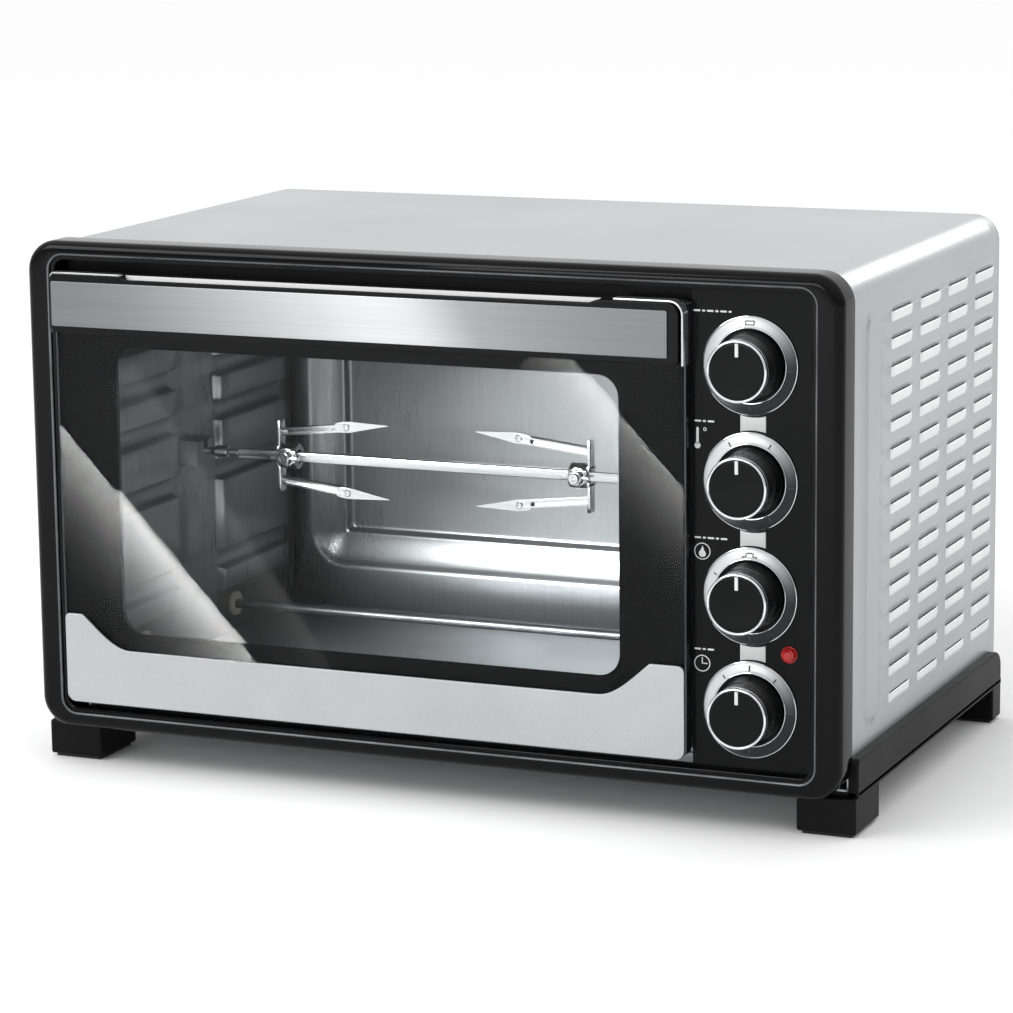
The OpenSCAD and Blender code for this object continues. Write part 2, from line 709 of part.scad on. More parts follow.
module drive_socket() color("#7e8083") body_frame() at_spit() difference() {
    union() {
        bar_x(cavity_x1 - 0.5 - socket_l, cavity_x1 - 0.5, socket_r);
        bar_x(cavity_x1 - 0.5 - eps, cavity_x1 - 0.5 + stub_l, stub_r);
    }
    square_bore(cavity_x1 - socket_l - 5, cavity_x1 - 3.5);
}

module spit_motor() color("#a8abb0") body_frame() translate([cavity_x1 + sheet_t, 0, 0]) at_spit()
    difference() {
        union() {
            bar_x(0, motor_l * 0.55, motor_r);
            bar_x(motor_l * 0.55 - eps, motor_l, motor_r - 3);
            box([0, -motor_r - 7, -5], [1.5, motor_r + 7, 5]);
            box([motor_l * 0.3, -8, -motor_r - 8], [motor_l * 0.8, 8, -motor_r + 4]);
        }
        bar_x(-1, stub_l, stub_r + run_fit);
        for (s = [-1, 1]) translate([0, s * (motor_r + 3.5), 0]) bar_x(-1, 5, 1.8);
    }

/* Convection fan */

module fan_housing() color("#9a9da0") body_frame() at_fan() difference() {
    bar_x(0, fan_case_d, fan_case_r);
    bar_x(-1, fan_case_d - sheet_t, fan_case_r - sheet_t);
    bar_x(0, fan_case_d + 5, fan_shaft_r + 1);
}

module fan_blade() color("#b3b6b9") body_frame() at_fan() {
    bar_x(4, 14, 8);
    bar_x(14 - eps, fan_case_d + 18, fan_shaft_r);
    for (k = [0:5]) rotate([k * 60, 0, 0]) translate([9, 0, 0]) rotate([0, 0, 32])
        box([-0.6, -6.5, 5], [0.6, 6.5, fan_r - 3]);
}

module fan_motor() color("#8b8e92") body_frame() at_fan() translate([fan_case_d, 0, 0]) difference() {
    union() {
        bar_x(0, 5, 12);
        box([5 - eps, -24, -20], [25, 24, 20]);
        bar_x(25 - eps, 32, 14);
        for (s = [-1, 1]) box([0, s * 30 - 5, -5], [1.5, s * 30 + 5, 5]);
        for (s = [-1, 1]) box([0, s * 24.5 - 1, -5], [6, s * 24.5 + 1, 5]);
    }
    bar_x(-1, 19, fan_shaft_r + run_fit);
}

/* Feet */

module runner() {
    x1 = casing_x + runner_out;
    x0 = x1 - leg_w;
    difference() {
        union() {
            box([x0, bezel_d, -2], [x1, body_d - 2, casing_low]);
            box([casing_x, bezel_d, -2], [x1, body_d - 2, runner_top]);
            for (y = [leg_front, leg_rear]) box([x0, y[0], -foot_h + pad_t], [x1, y[1], -2 + eps]);
            box([x0, leg_front[0], -2], [x1, bezel_d + eps, -0.3]);
        }
        translate([0, body_d - 16, runner_top - 14]) difference() {
            box([0, 0, 0], [body_w, 20, 20]);
            bar_x(0, body_w, 14);
        }
    }
}

module right_runner() color("#151517") body_frame() runner();
module left_runner() color("#151517") body_frame() mirror([1, 0, 0]) runner();

module foot_pads() color("#2b2b2b") body_frame() both_sides() for (y = [leg_front, leg_rear])
    box([casing_x + runner_out - leg_w + 3, y[0] + 3, -foot_h],
        [casing_x + runner_out - 3, y[1] - 3, -foot_h + pad_t]);

/* Rear fittings */

module casing_screws() color("#6d7073") body_frame() at_rear_screws() {
    bar_y(cover_t, cover_t + 2, 3.6);
    bar_y(-6, cover_t + eps, 1.9);
}

module cord_gland() color("#1d1d1f") body_frame() translate([gland_x, body_d + cover_t, gland_z])
    difference() {
        union() {
            bar_y(0, 3, gland_r + 4);
            bar_y(-cover_t - 6, eps, gland_r - loose_fit);
            bar_y(-cover_t - 8, -cover_t, gland_r - 1);
        }
        bar_y(-20, 20, 4);
    }

/* Door */

module door_outline(x0, x1, z1) rrect(x0, x1, door_z0, z1, door_r);

module door_glass() color("#9fb0b6", 0.35) body_frame() slab(door_face, mask_y)
    door_outline(door_x0, glass_x1, glass_z1);

module window_outline(inset) rrect(window_x0 + inset, window_x1 - inset, window_z0 + inset,
    window_z1 - inset, window_r - inset);

module glass_mask() color("#0c0c0e") body_frame() slab(mask_y, frame_y) difference() {
    door_outline(door_x0, glass_x1, glass_z1);
    window_outline(0);
}

trim_left_land = 12.5;
trim_left_run = 32;
trim_right_land = 22.5;
trim_right_run = 35.5;
trim_rise = trim_end_h - trim_h;

// Solid outline under a hollow curve that runs down to the trim's top edge
module trim_shoulder(run) {
    r = (run * run + trim_rise * trim_rise) / (2 * trim_rise);
    difference() {
        square([run, trim_rise]);
        translate([run, r]) circle(r, $fn = 96);
    }
}

module trim_outline() {
    x0 = door_x0;
    x1 = glass_x1;
    translate([x0, door_z0]) square([x1 - x0, trim_h]);
    translate([x0, door_z0 + trim_h - eps]) square([trim_left_land, trim_rise + eps]);
    translate([x1 - trim_right_land, door_z0 + trim_h - eps]) square([trim_right_land, trim_rise + eps]);
    translate([x0 + trim_left_land - eps, door_z0 + trim_h - eps]) trim_shoulder(trim_left_run);
    translate([x1 - trim_right_land + eps, door_z0 + trim_h - eps]) mirror([1, 0]) trim_shoulder(trim_right_run);
}

module door_trim() color("#cfd0d2") body_frame() slab(door_face - trim_t, door_face) intersection() {
    trim_outline();
    rrect(door_x0, glass_x1, door_z0 - 20, door_z0 + trim_end_h, 2.5);
    door_outline(door_x0, glass_x1, glass_z1);
}

// Finger recess behind the handle's top lip
recess_x0 = door_x0 + 56;
recess_x1 = glass_x1 - 59;
recess_z = glass_z1 + 24;
lip_t = 1.6;
recess_wall = 1.4;
handle_z1 = glass_z1 + handle_h;
plate_z0 = glass_z1 + 4.5;
plate_z1 = plate_z0 + plate_h;

module edge_inside() rrect(door_x0 - 20, door_x1 - strip_t, door_z0 - 20, door_z1 - strip_t,
    edge_r - strip_t);

module handle_body() color("#131315") body_frame() difference() {
    slab(-handle_out, frame_y) intersection() {
        rrect(door_x0, glass_x1, glass_z1, handle_z1, 3);
        edge_inside();
    }
    slab(-handle_out + lip_t, frame_y - recess_wall) rrect(recess_x0, recess_x1, recess_z, handle_z1 + 20, 6);
    slab(-handle_out - 1, -handle_out + lip_t + eps) rrect(recess_x0, recess_x1, plate_z1 + 0.5,
        handle_z1 + 20, 2);
}

module handle_plate() color("#a9abad") body_frame() slab(-handle_out - plate_t, -handle_out)
    rrect(door_x0 + 1, glass_x1 - 8, plate_z0, plate_z1, 1);

module edge_ring() difference() {
    rrect(door_x0, door_x1, door_z0, door_z1, edge_r);
    edge_inside();
    translate([door_x0 - 1, door_z0 - 1]) square([door_x1 - door_x0 - 20, 60]);
}

module door_edge_strip() color("#b9bbbd") body_frame() {
    difference() {
        slab(-handle_out + 1, frame_y) intersection() {
            edge_ring();
            translate([door_x0, glass_z1]) square([body_w, body_h]);
        }
        box([recess_x0, -body_d, door_z0], [recess_x1, frame_y - recess_wall, body_h]);
    }
    slab(-0.3, panel_y - 0.5) intersection() {
        edge_ring();
        translate([door_x0, 0]) square([body_w, glass_z1 + eps]);
    }
}

hinge_xs = [door_x0 + pocket_in, glass_x1 - pocket_in - pocket_w];

module hinge_pocket(x) box([x, frame_y - 1, 0], [x + pocket_w, door_t + 1, pocket_top]);

module door_inner_frame() color("#2a2b2d") body_frame() difference() {
    x0 = door_x0 + 0.5;
    x1 = glass_x1;
    z1 = handle_z1;
    union() {
        slab(frame_y, door_t) difference() {
            rrect(x0, x1, frame_z0, z1, 3);
            rrect(x0 + sheet_t, x1 - sheet_t, frame_z0 + sheet_t, z1 - sheet_t, 2);
        }
        slab(door_t - sheet_t, door_t) difference() {
            rrect(x0, x1, frame_z0, z1, 3);
            window_outline(-4);
        }
        slab(frame_y, door_t) difference() {
            window_outline(-4 - sheet_t);
            window_outline(-4);
        }
        for (x = hinge_xs) box([x - 1.5, frame_y, frame_z0], [x + pocket_w + 1.5, door_t, pocket_top + 1.5]);
    }
    for (x = hinge_xs) {
        hinge_pocket(x);
        translate([x - 2, hinge_y, hinge_z]) bar_x(0, pocket_w + 4, hinge_pin_r);
    }
}

module hinge_pins() color("#b0b2b5") body_frame() for (x = hinge_xs)
    translate([x - 1.5, hinge_y, hinge_z]) bar_x(0, pocket_w + 3, hinge_pin_r);

module hinge_brackets() color("#9fa2a5") body_frame() for (x = hinge_xs) difference() {
    union() {
        translate([x + 2, hinge_y, hinge_z]) bar_x(0, ear_t, hinge_ear_r);
        box([x + 2, hinge_y, hinge_z - hinge_ear_r], [x + 2 + ear_t, cavity_y0, hinge_z + hinge_ear_r]);
        box([x + 1, cavity_y0 - 1, hinge_z - hinge_ear_r], [x + pocket_w - 1, cavity_y0, pocket_top - 2]);
    }
    translate([x, hinge_y, hinge_z]) bar_x(0, pocket_w, hinge_pin_r + run_fit);
}

module hinge_springs() color("#7c7f82") body_frame() for (x = hinge_xs)
    translate([x + 2 + ear_t, hinge_y, hinge_z]) {
        for (k = [0:3]) translate([0.7 + k * 1.3, 0, 0]) rotate([0, 90, 0]) rotate_extrude()
            translate([hinge_pin_r + 1, 0]) circle(0.65, $fn = 24);
        box([0.2, hinge_pin_r + 0.4, -0.5], [1.2, cavity_y0 - 1 - hinge_y, 0.5]);
    }

outer_casing();
rear_cover();
base_plate();
front_bezel();
control_panel();
dial_rings();
pilot_lamp_lens();
pilot_lamp_holder();
cavity_left_wall();
cavity_right_wall();
cavity_back_wall();
cavity_ceiling();
cavity_floor();
upper_heaters();
lower_heaters();
heater_insulators();
spit_bracket();
spit_motor();
fan_housing();
fan_motor();
function_switch();
thermostat();
selector_switch();
timer_mechanism();
thermostat_probe();
control_chassis();
left_runner();
right_runner();
foot_pads();
casing_screws();
cord_gland();
hinge_brackets();
hinge_springs();
door_glass();
glass_mask();
door_inner_frame();
handle_body();
handle_plate();
door_trim();
door_edge_strip();
hinge_pins();
function_knob();
function_knob_ring();
function_spindle();
temperature_knob();
temperature_knob_ring();
temperature_spindle();
selector_knob();
selector_knob_ring();
selector_spindle();
timer_knob();
timer_knob_ring();
timer_spindle();
spit_shaft();
left_fork();
right_fork();
left_fork_screw();
right_fork_screw();
drive_socket();
fan_blade();
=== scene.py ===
import bpy
import bmesh
import json
import math
from mathutils import Matrix, Vector

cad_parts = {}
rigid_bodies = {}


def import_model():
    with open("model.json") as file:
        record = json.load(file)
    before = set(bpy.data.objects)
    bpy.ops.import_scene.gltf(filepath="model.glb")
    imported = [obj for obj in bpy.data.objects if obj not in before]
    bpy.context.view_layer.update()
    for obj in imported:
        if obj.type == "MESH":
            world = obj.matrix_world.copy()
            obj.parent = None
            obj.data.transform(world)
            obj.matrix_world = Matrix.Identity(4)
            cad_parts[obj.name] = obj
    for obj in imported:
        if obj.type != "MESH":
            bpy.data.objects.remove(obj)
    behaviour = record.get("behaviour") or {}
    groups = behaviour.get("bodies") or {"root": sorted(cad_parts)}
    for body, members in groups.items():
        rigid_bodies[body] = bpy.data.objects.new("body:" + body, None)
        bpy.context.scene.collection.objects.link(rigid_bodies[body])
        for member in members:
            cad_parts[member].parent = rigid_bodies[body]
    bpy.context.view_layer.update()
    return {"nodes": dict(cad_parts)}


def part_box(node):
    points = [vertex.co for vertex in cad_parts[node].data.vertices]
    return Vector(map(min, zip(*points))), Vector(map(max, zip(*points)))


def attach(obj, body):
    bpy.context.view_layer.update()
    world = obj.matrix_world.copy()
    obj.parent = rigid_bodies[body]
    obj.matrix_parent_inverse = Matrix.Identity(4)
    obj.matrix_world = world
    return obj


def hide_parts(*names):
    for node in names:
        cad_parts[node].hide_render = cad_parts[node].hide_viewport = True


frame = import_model()
print("frame loaded")

# Sizes are millimetres: x from the bezel's middle, y back from its front, z up from its bottom edge
bezelLow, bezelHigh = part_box("front_bezel")
toRow = Matrix.Translation(((bezelLow.x + bezelHigh.x) / 2, bezelLow.y, bezelLow.z)) @ Matrix.Scale(0.001, 4)
fromRow = toRow.inverted()
root = "cabinet"


def boxOf(node):
    low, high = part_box(node)
    return fromRow @ low, fromRow @ high


# ---- materials

finish = {}


def toLinear(hexColour):
    parts = [int(hexColour[i:i + 2], 16) / 255 for i in (1, 3, 5)]
    return tuple(p / 12.92 if p <= 0.04045 else ((p + 0.055) / 1.055) ** 2.4 for p in parts) + (1.0,)


def addNode(tree, kind, inputs=None, **settings):
    node = tree.nodes.new(kind)
    for key, value in settings.items():
        setattr(node, key, value)
    for key, value in (inputs or {}).items():
        if isinstance(value, bpy.types.NodeSocket):
            tree.links.new(value, node.inputs[key])
        else:
            node.inputs[key].default_value = value
    return node


def addNoise(tree, place, scale, detail=2.0, roughness=0.5):
    return addNode(tree, "ShaderNodeTexNoise", {"Vector": place, "Scale": scale, "Detail": detail,
                   "Roughness": roughness}).outputs[0]


def addRange(tree, value, low, high, start=0.0, end=1.0, **settings):
    return addNode(tree, "ShaderNodeMapRange", {"Value": value, "From Min": start, "From Max": end,
                   "To Min": low, "To Max": high}, **settings).outputs[0]


def addMath(tree, operation, *values):
    return addNode(tree, "ShaderNodeMath", dict(enumerate(values)), operation=operation).outputs[0]


def addMix(tree, share, first, second):
    return addNode(tree, "ShaderNodeMix", {0: share, 6: toLinear(first), 7: toLinear(second)},
                   data_type="RGBA").outputs[2]


def addBump(tree, height, strength, distance):
    return addNode(tree, "ShaderNodeBump", {"Height": height, "Strength": strength,
                   "Distance": distance}).outputs[0]


def startMaterial(name):
    finish[name] = bpy.data.materials.new(name)
    finish[name].use_nodes = True
    tree = finish[name].node_tree
    tree.nodes.clear()
    return tree, addNode(tree, "ShaderNodeTexCoord").outputs["Object"]


def endMaterial(tree, inputs):
    shader = addNode(tree, "ShaderNodeBsdfPrincipled", inputs).outputs[0]
    addNode(tree, "ShaderNodeOutputMaterial", {"Surface": shader})


# grain is the size of the fine pattern in mm, one number or one each for x, y and z; blotch is the
# broad unevenness in mm, depth the height of the fine pattern in mm
def makeFinish(name, first, second, rough, grain, bump, depth, metal=0.0, blotch=90, shine=0.5):
    tree, place = startMaterial(name)
    sizes = grain if isinstance(grain, tuple) else (grain,) * 3
    stretch = addNode(tree, "ShaderNodeMapping", {"Vector": place, "Scale": [1000 / g for g in sizes]})
    fine = addNoise(tree, stretch.outputs[0], 1.0, 3.0, 0.6)
    both = addMath(tree, "ADD", fine, addNoise(tree, place, 1000 / blotch))
    share = addRange(tree, both, 0.0, 1.0, 0.7, 1.3)
    endMaterial(tree, {"Base Color": addMix(tree, share, first, second),
                       "Roughness": addRange(tree, both, rough[0], rough[1], 0.6, 1.4),
                       "Normal": addBump(tree, fine, bump, depth / 1000),
                       "Metallic": metal, "Specular IOR Level": shine})


# clear-coated aluminised sheet: pale grey, soft broad highlights
makeFinish("coatedSheet", "#b3b5b7", "#abadaf", (0.3, 0.4), 1.2, 0.1, 0.02, metal=0.6, blotch=160)
# the same sheet painted a shade brighter on the louvre faces: a painted highlight for the light their sloping
# faces catch
makeFinish("louvreHighlightSheet", "#eceded", "#e2e3e4", (0.3, 0.4), 1.2, 0.1, 0.02, metal=0.25, blotch=60)
# galvanised steel: faint spangle
makeFinish("zincSheet", "#a6a9ab", "#9b9ea1", (0.38, 0.5), 7, 0.08, 0.05, metal=0.85, blotch=25)
# gloss moulded ABS: black mirror with the slightest ripple
makeFinish("glossAbs", "#030304", "#060607", (0.05, 0.11), 14, 0.1, 0.04, blotch=60, shine=0.14)
# moulded radius of the bezel's step, painted grey: a painted highlight for the thin grey line of light it
# catches
makeFinish("bezelStepHighlight", "#6a6c6f", "#3c3e41", (0.2, 0.3), 30, 0.04, 0.02, metal=0.4, blotch=70)
# panel moulding, printed gloss black: a little softer than the bezel
makeFinish("panelAbs", "#050607", "#090a0b", (0.14, 0.22), 1.6, 0.06, 0.02, shine=0.12)
# fine-textured ABS of the runners: spark-eroded grain
makeFinish("grainedAbs", "#070708", "#0c0c0e", (0.38, 0.5), 1.1, 0.3, 0.08, shine=0.12)
# metal edge strip of the door with a painted highlight: a thin bright line where light catches it
makeFinish("edgeStripHighlight", "#d4d5d6", "#c2c3c5", (0.16, 0.26), 8, 0.05, 0.02, metal=0.9)
# near-white fill at the back of the finger recess, a painted reflection: the lightest line on the door
makeFinish("paleLiner", "#fbfbfb", "#f4f4f4", (0.3, 0.4), 0.8, 0.06, 0.01)
# satin anodised aluminium: pale, even, fine blasted grain
makeFinish("satinAluminium", "#babcbe", "#aeb0b2", (0.4, 0.5), 0.7, 0.12, 0.02, metal=0.75, blotch=70)
# the same edge strip darker, a painted shaded copy used where less light falls: reads as a thin grey line
makeFinish("edgeStripShadedCopy", "#4a4c4e", "#3c3e40", (0.22, 0.32), (1, 1, 20), 0.1, 0.02, metal=0.9, blotch=60)
# bright chrome plate on ABS
makeFinish("chromePlate", "#e9eaec", "#dfe1e3", (0.06, 0.12), 5, 0.05, 0.02, metal=1.0)
# cavity sheet, aluminised steel rolled along z: satin with soft upright streaks
makeFinish("cavitySheet", "#a8aaac", "#97999b", (0.24, 0.38), (1.2, 1.2, 40), 0.02, 0.02,
           metal=0.85, blotch=110)
# polished stainless rod and stampings
makeFinish("polishedSteel", "#dcdddf", "#c4c6c8", (0.1, 0.2), (20, 1.0, 1.0), 0.1, 0.02, metal=1.0)
# bare stainless tube of a heater: grey with heat-darkened patches
makeFinish("heaterTube", "#8d8f92", "#5c5d60", (0.28, 0.45), (30, 2, 2), 0.15, 0.04, metal=0.9, blotch=45)
# steatite ceramic: off-white, matt, slightly pitted
makeFinish("steatite", "#d9d4c6", "#c5bfae", (0.5, 0.7), 0.8, 0.3, 0.06)
# black phenolic of the knobs: deep black, satin
makeFinish("knobPhenolic", "#040506", "#08090a", (0.16, 0.26), 1.4, 0.06, 0.02, shine=0.14)
# brown phenolic of switches
makeFinish("switchPhenolic", "#3a2a1c", "#4a3826", (0.35, 0.5), 1, 0.2, 0.05)
# white screen-print ink
makeFinish("whiteInk", "#d9dadb", "#cccdce", (0.4, 0.5), 0.4, 0.1, 0.01)
# dark grey print on the dials
makeFinish("darkInk", "#2c2d30", "#37383b", (0.4, 0.5), 0.4, 0.1, 0.01)
# silver-grey paint of the small tabs
makeFinish("tabPaint", "#c6c7c7", "#bcbdbd", (0.35, 0.45), 0.6, 0.1, 0.01, metal=0.3)
# vulcanised rubber: matt, fine bloom
makeFinish("rubberPad", "#1b1b1c", "#252526", (0.7, 0.85), 0.9, 0.3, 0.05)
# black printed enamel behind the door glass
makeFinish("printedBlack", "#030304", "#050506", (0.3, 0.4), 0.9, 0.01, 0.01, shine=0.1)
# dark enamelled sheet inside the door
makeFinish("enamelSheet", "#1c1d1f", "#26272a", (0.28, 0.4), 2, 0.15, 0.04)
# brass and copper parts behind the panel
makeFinish("brassPlate", "#b49655", "#9c8047", (0.3, 0.45), 2, 0.1, 0.02, metal=1.0)
makeFinish("copperTube", "#b8734a", "#8f5536", (0.25, 0.4), 2, 0.1, 0.02, metal=1.0)


# Float glass: what is behind it stays clear, the surface mirrors a little more at a low angle
def makeGlass(name, tint, ior):
    tree, place = startMaterial(name)
    wave = addNoise(tree, place, 1000 / 160, 1.0)
    clear = addNode(tree, "ShaderNodeBsdfTransparent", {"Color": toLinear(tint)}).outputs[0]
    shine = addNode(tree, "ShaderNodeBsdfGlossy", {"Color": (1, 1, 1, 1),
                    "Roughness": addRange(tree, wave, 0.0, 0.012),
                    "Normal": addBump(tree, wave, 0.03, 0.0005)}).outputs[0]
    share = addNode(tree, "ShaderNodeFresnel", {"IOR": ior}).outputs[0]
    mixed = addNode(tree, "ShaderNodeMixShader", {0: share, 1: clear, 2: shine}).outputs[0]
    addNode(tree, "ShaderNodeOutputMaterial", {"Surface": mixed})


# Moulded red polycarbonate: glows a little because light passes through it
def makeLens(name):
    tree, place = startMaterial(name)
    cloud = addNoise(tree, place, 1000 / 3)
    endMaterial(tree, {"Base Color": addMix(tree, cloud, "#8f0c0c", "#b82420"),
                       "Roughness": addRange(tree, cloud, 0.08, 0.18), "Subsurface Weight": 0.3,
                       "Subsurface Scale": 0.002, "Emission Color": toLinear("#c01410"),
                       "Emission Strength": 0.05})


# Steel brushed along x, with a painted highlight: the broad bright sweep that a brushed face shows under a
# soft light is painted into its colour as a slanting band
def makeHandleSteelWithSweep(name):
    tree, place = startMaterial(name)
    stretch = addNode(tree, "ShaderNodeMapping", {"Vector": place, "Scale": (6, 2000, 2000)}).outputs[0]
    hair = addNoise(tree, stretch, 1.0, 3.0)
    axis = addNode(tree, "ShaderNodeSeparateXYZ", {0: place}).outputs
    slant = addMath(tree, "MULTIPLY_ADD", axis["Z"], 0.5, axis["X"])
    ramp = addNode(tree, "ShaderNodeValToRGB", {0: addRange(tree, slant, 0.0, 1.0, -0.1, 0.32)})
    stops = ((0.0, "#77797b"), (0.2, "#848688"), (0.46, "#c9cacb"), (0.6, "#d4d5d6"), (0.7, "#8b8d8f"),
             (1.0, "#747678"))
    paintedSweep = ramp.color_ramp
    paintedSweep.interpolation = "B_SPLINE"
    for at, shade in stops[1:-1]:
        paintedSweep.elements.new(at)
    for element, (at, shade) in zip(paintedSweep.elements, stops):
        element.position = at
        element.color = toLinear(shade)
    dull = addRange(tree, hair, 0.88, 1.0, 0.3, 0.7)
    colour = addNode(tree, "ShaderNodeVectorMath", {0: ramp.outputs[0], 3: dull}, operation="SCALE")
    endMaterial(tree, {"Base Color": colour.outputs[0], "Roughness": addRange(tree, hair, 0.3, 0.44),
                       "Normal": addBump(tree, hair, 0.2, 0.00003), "Metallic": 0.9})


# Silver paint of the dial rings with painted shading: lighter towards the upper left and darker towards the
# lower right, as the light falls across each ring
def makeDialPaintedShade(name, middleX, lowestZ, pitch):
    tree, place = startMaterial(name)
    axis = addNode(tree, "ShaderNodeSeparateXYZ", {0: place}).outputs
    across = addMath(tree, "SUBTRACT", axis["X"], middleX)
    height = addMath(tree, "SUBTRACT", axis["Z"], lowestZ)
    up = addMath(tree, "WRAP", height, pitch / 2, -pitch / 2)
    # painted shade runs across each ring, from the upper left to the lower right
    lean = addMath(tree, "MULTIPLY_ADD", across, -0.75, up)
    flake = addNoise(tree, place, 2200.0)
    mixed = addMath(tree, "MULTIPLY_ADD", flake, 0.006, lean)
    share = addRange(tree, mixed, 0.0, 1.0, -0.022, 0.034, interpolation_type="SMOOTHSTEP")
    endMaterial(tree, {"Base Color": addMix(tree, share, "#1d1f21", "#cfd0d2"),
                       "Roughness": addRange(tree, flake, 0.28, 0.4), "Metallic": 0.45})


makeGlass("doorPane", "#fbfcfc", 1.15)
makeLens("redLens")
makeHandleSteelWithSweep("handleSteel")
print("materials made")


# ---- mesh tools

# Points of an arc about (cx, cz), with both ends; degrees anticlockwise from the first axis
def arc(cx, cz, r, start, end, steps):
    turns = (math.radians(start + (end - start) * k / steps) for k in range(steps + 1))
    return [(cx + r * math.cos(a), cz + r * math.sin(a)) for a in turns]


def roundRect(x0, x1, z0, z1, r, n=8):
    return (arc(x1 - r, z0 + r, r, -90, 0, n) + arc(x1 - r, z1 - r, r, 0, 90, n)
            + arc(x0 + r, z1 - r, r, 90, 180, n) + arc(x0 + r, z0 + r, r, 180, 270, n))


def atDepth(points, y):
    return [Vector((x, y, z)) for x, z in points]


# Moves each corner of a closed outline inwards by d (the outline runs anticlockwise)
def inset(points, d):
    moved = []
    count = len(points)
    for i in range(count):
        a, b, c = (Vector(points[(i + k) % count]) for k in (-1, 0, 1))
        first, second = (b - a), (c - b)
        if first.length < 1e-6 or second.length < 1e-6:
            moved.append(tuple(b))
            continue
        n1 = Vector((-first.y, first.x)).normalized()
        n2 = Vector((-second.y, second.x)).normalized()
        half = n1 + n2
        if half.length < 1e-6:
            half = n1
        half.normalize()
        moved.append(tuple(b + half * d / max(0.4, half.dot(n1))))
    return moved


# Skin over loops of equally many points; capped closes both ends, ring joins the last to the first
def loft(bm, loops, capped=False, ring=False):
    rows = [[bm.verts.new(p) for p in loop] for loop in loops]
    pairs = list(zip(rows, rows[1:])) + ([(rows[-1], rows[0])] if ring else [])
    count = len(rows[0])
    for a, b in pairs:
        for i in range(count):
            j = (i + 1) % count
            bm.faces.new((a[i], a[j], b[j], b[i]))
    if capped:
        bm.faces.new(rows[0][::-1])
        bm.faces.new(rows[-1])
    return rows


# Flat piece in x and z with rounded front edges
def plate(bm, outline, front, back, edge, steps=3):
    loops = [atDepth(outline, back)]
    for k in range(steps + 1):
        a = math.pi / 2 * k / steps
        loops.append(atDepth(inset(outline, edge * (1 - math.cos(a))), front + edge * (1 - math.sin(a))))
    loft(bm, loops, True)


axes = {"front": (Vector((1, 0, 0)), Vector((0, 0, 1)), Vector((0, -1, 0))),
        "right": (Vector((0, 1, 0)), Vector((0, 0, 1)), Vector((1, 0, 0))),
        "left": (Vector((0, -1, 0)), Vector((0, 0, 1)), Vector((-1, 0, 0)))}


# Turned piece: profile of (radius, height) pairs along one of the axes
def turned(bm, profile, centre, facing="front", segments=64, phase=0.0):
    across, up, along = axes[facing]
    rows = []
    for r, h in profile:
        base = Vector(centre) + along * h
        if r < 1e-6:
            rows.append([bm.verts.new(base)])
        else:
            rows.append([bm.verts.new(base + across * (r * math.cos(t)) + up * (r * math.sin(t)))
                         for t in (phase + 2 * math.pi * i / segments for i in range(segments))])
    for a, b in zip(rows, rows[1:]):
        for i in range(segments):
            j = (i + 1) % segments
            if len(a) == 1:
                bm.faces.new((a[0], b[j], b[i]))
            elif len(b) == 1:
                bm.faces.new((a[i], a[j], b[0]))
            else:
                bm.faces.new((a[i], a[j], b[j], b[i]))


# Box with rounded edges
def block(bm, low, high, edge, steps=2):
    made = bmesh.ops.create_cube(bm, size=1)["verts"]
    for v in made:
        v.co = Vector([low[k] + (v.co[k] + 0.5) * (high[k] - low[k]) for k in range(3)])
    edges = list({e for v in made for e in v.link_edges})
    bmesh.ops.bevel(bm, geom=edges, offset=edge, segments=steps, affect="EDGES", profile=0.5)


# Turns a bmesh into an object; edges sharper than the given angle stay crisp
def toObject(bm, name, materials, sharpest):
    mesh = bpy.data.meshes.new(name)
    bm.to_mesh(mesh)
    bm.free()
    mesh.transform(toRow)
    for polygon in mesh.polygons:
        polygon.use_smooth = True
    mesh.set_sharp_from_angle(angle=math.radians(sharpest))
    for each in materials:
        mesh.materials.append(finish[each])
    piece = bpy.data.objects.new(name, mesh)
    bpy.context.scene.collection.objects.link(piece)
    return piece


def makePiece(bm, name, materials, body, replaces=(), smooth=35, even=False):
    bmesh.ops.remove_doubles(bm, verts=bm.verts, dist=0.002)
    bmesh.ops.recalc_face_normals(bm, faces=bm.faces)
    piece = toObject(bm, name, [materials] if isinstance(materials, str) else materials, smooth)
    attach(piece, body)
    if replaces:
        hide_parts(*replaces)
    if even:
        piece.modifiers.new("evenShading", "WEIGHTED_NORMAL").keep_sharp = True


# Sheet metal: a bare surface that gets its thickness, in mm, on the inner side
def makeSheet(bm, name, materials, thick, node, smooth):
    piece = toObject(bm, name, materials, smooth)
    sheet = piece.modifiers.new("sheetThickness", "SOLIDIFY")
    sheet.thickness = thick / 1000
    sheet.offset = -1
    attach(piece, root)
    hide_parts(node)


def smoothStep(t):
    t = max(0.0, min(1.0, t))
    return t * t * (3 - 2 * t)


# Distance inside a rounded rectangle, negative outside
def insideRect(u, v, halfU, halfV, r):
    du, dv = abs(u) - (halfU - r), abs(v) - (halfV - r)
    return r - (math.hypot(max(du, 0), max(dv, 0)) + min(max(du, dv), 0))


# ---- casing: one wrapped sheet with pressed louvres and an upright bead

casing = {"thick": 1.0, "front": 23, "corner": 17.5, "low": 2,
          "louvreLong": 42, "louvreHigh": 6.5, "louvreOut": 1.2, "pitchY": 60.5, "pitchZ": 17.15,
          "columns": 4, "rows": 15, "rearGap": 13.5, "rowMiddle": 161.5,
          "beadY": 66, "beadWide": 28, "beadOut": 1.2, "beadLow": 34, "beadTop": 291}


# Middle of a column of louvres in y, counted from the rear
def louvreY(column, back):
    return back - casing["rearGap"] - casing["louvreLong"] / 2 - column * casing["pitchY"]


# Middle of a row of louvres in z, counted from below
def louvreZ(row):
    return casing["rowMiddle"] + (row - (casing["rows"] - 1) / 2) * casing["pitchZ"]


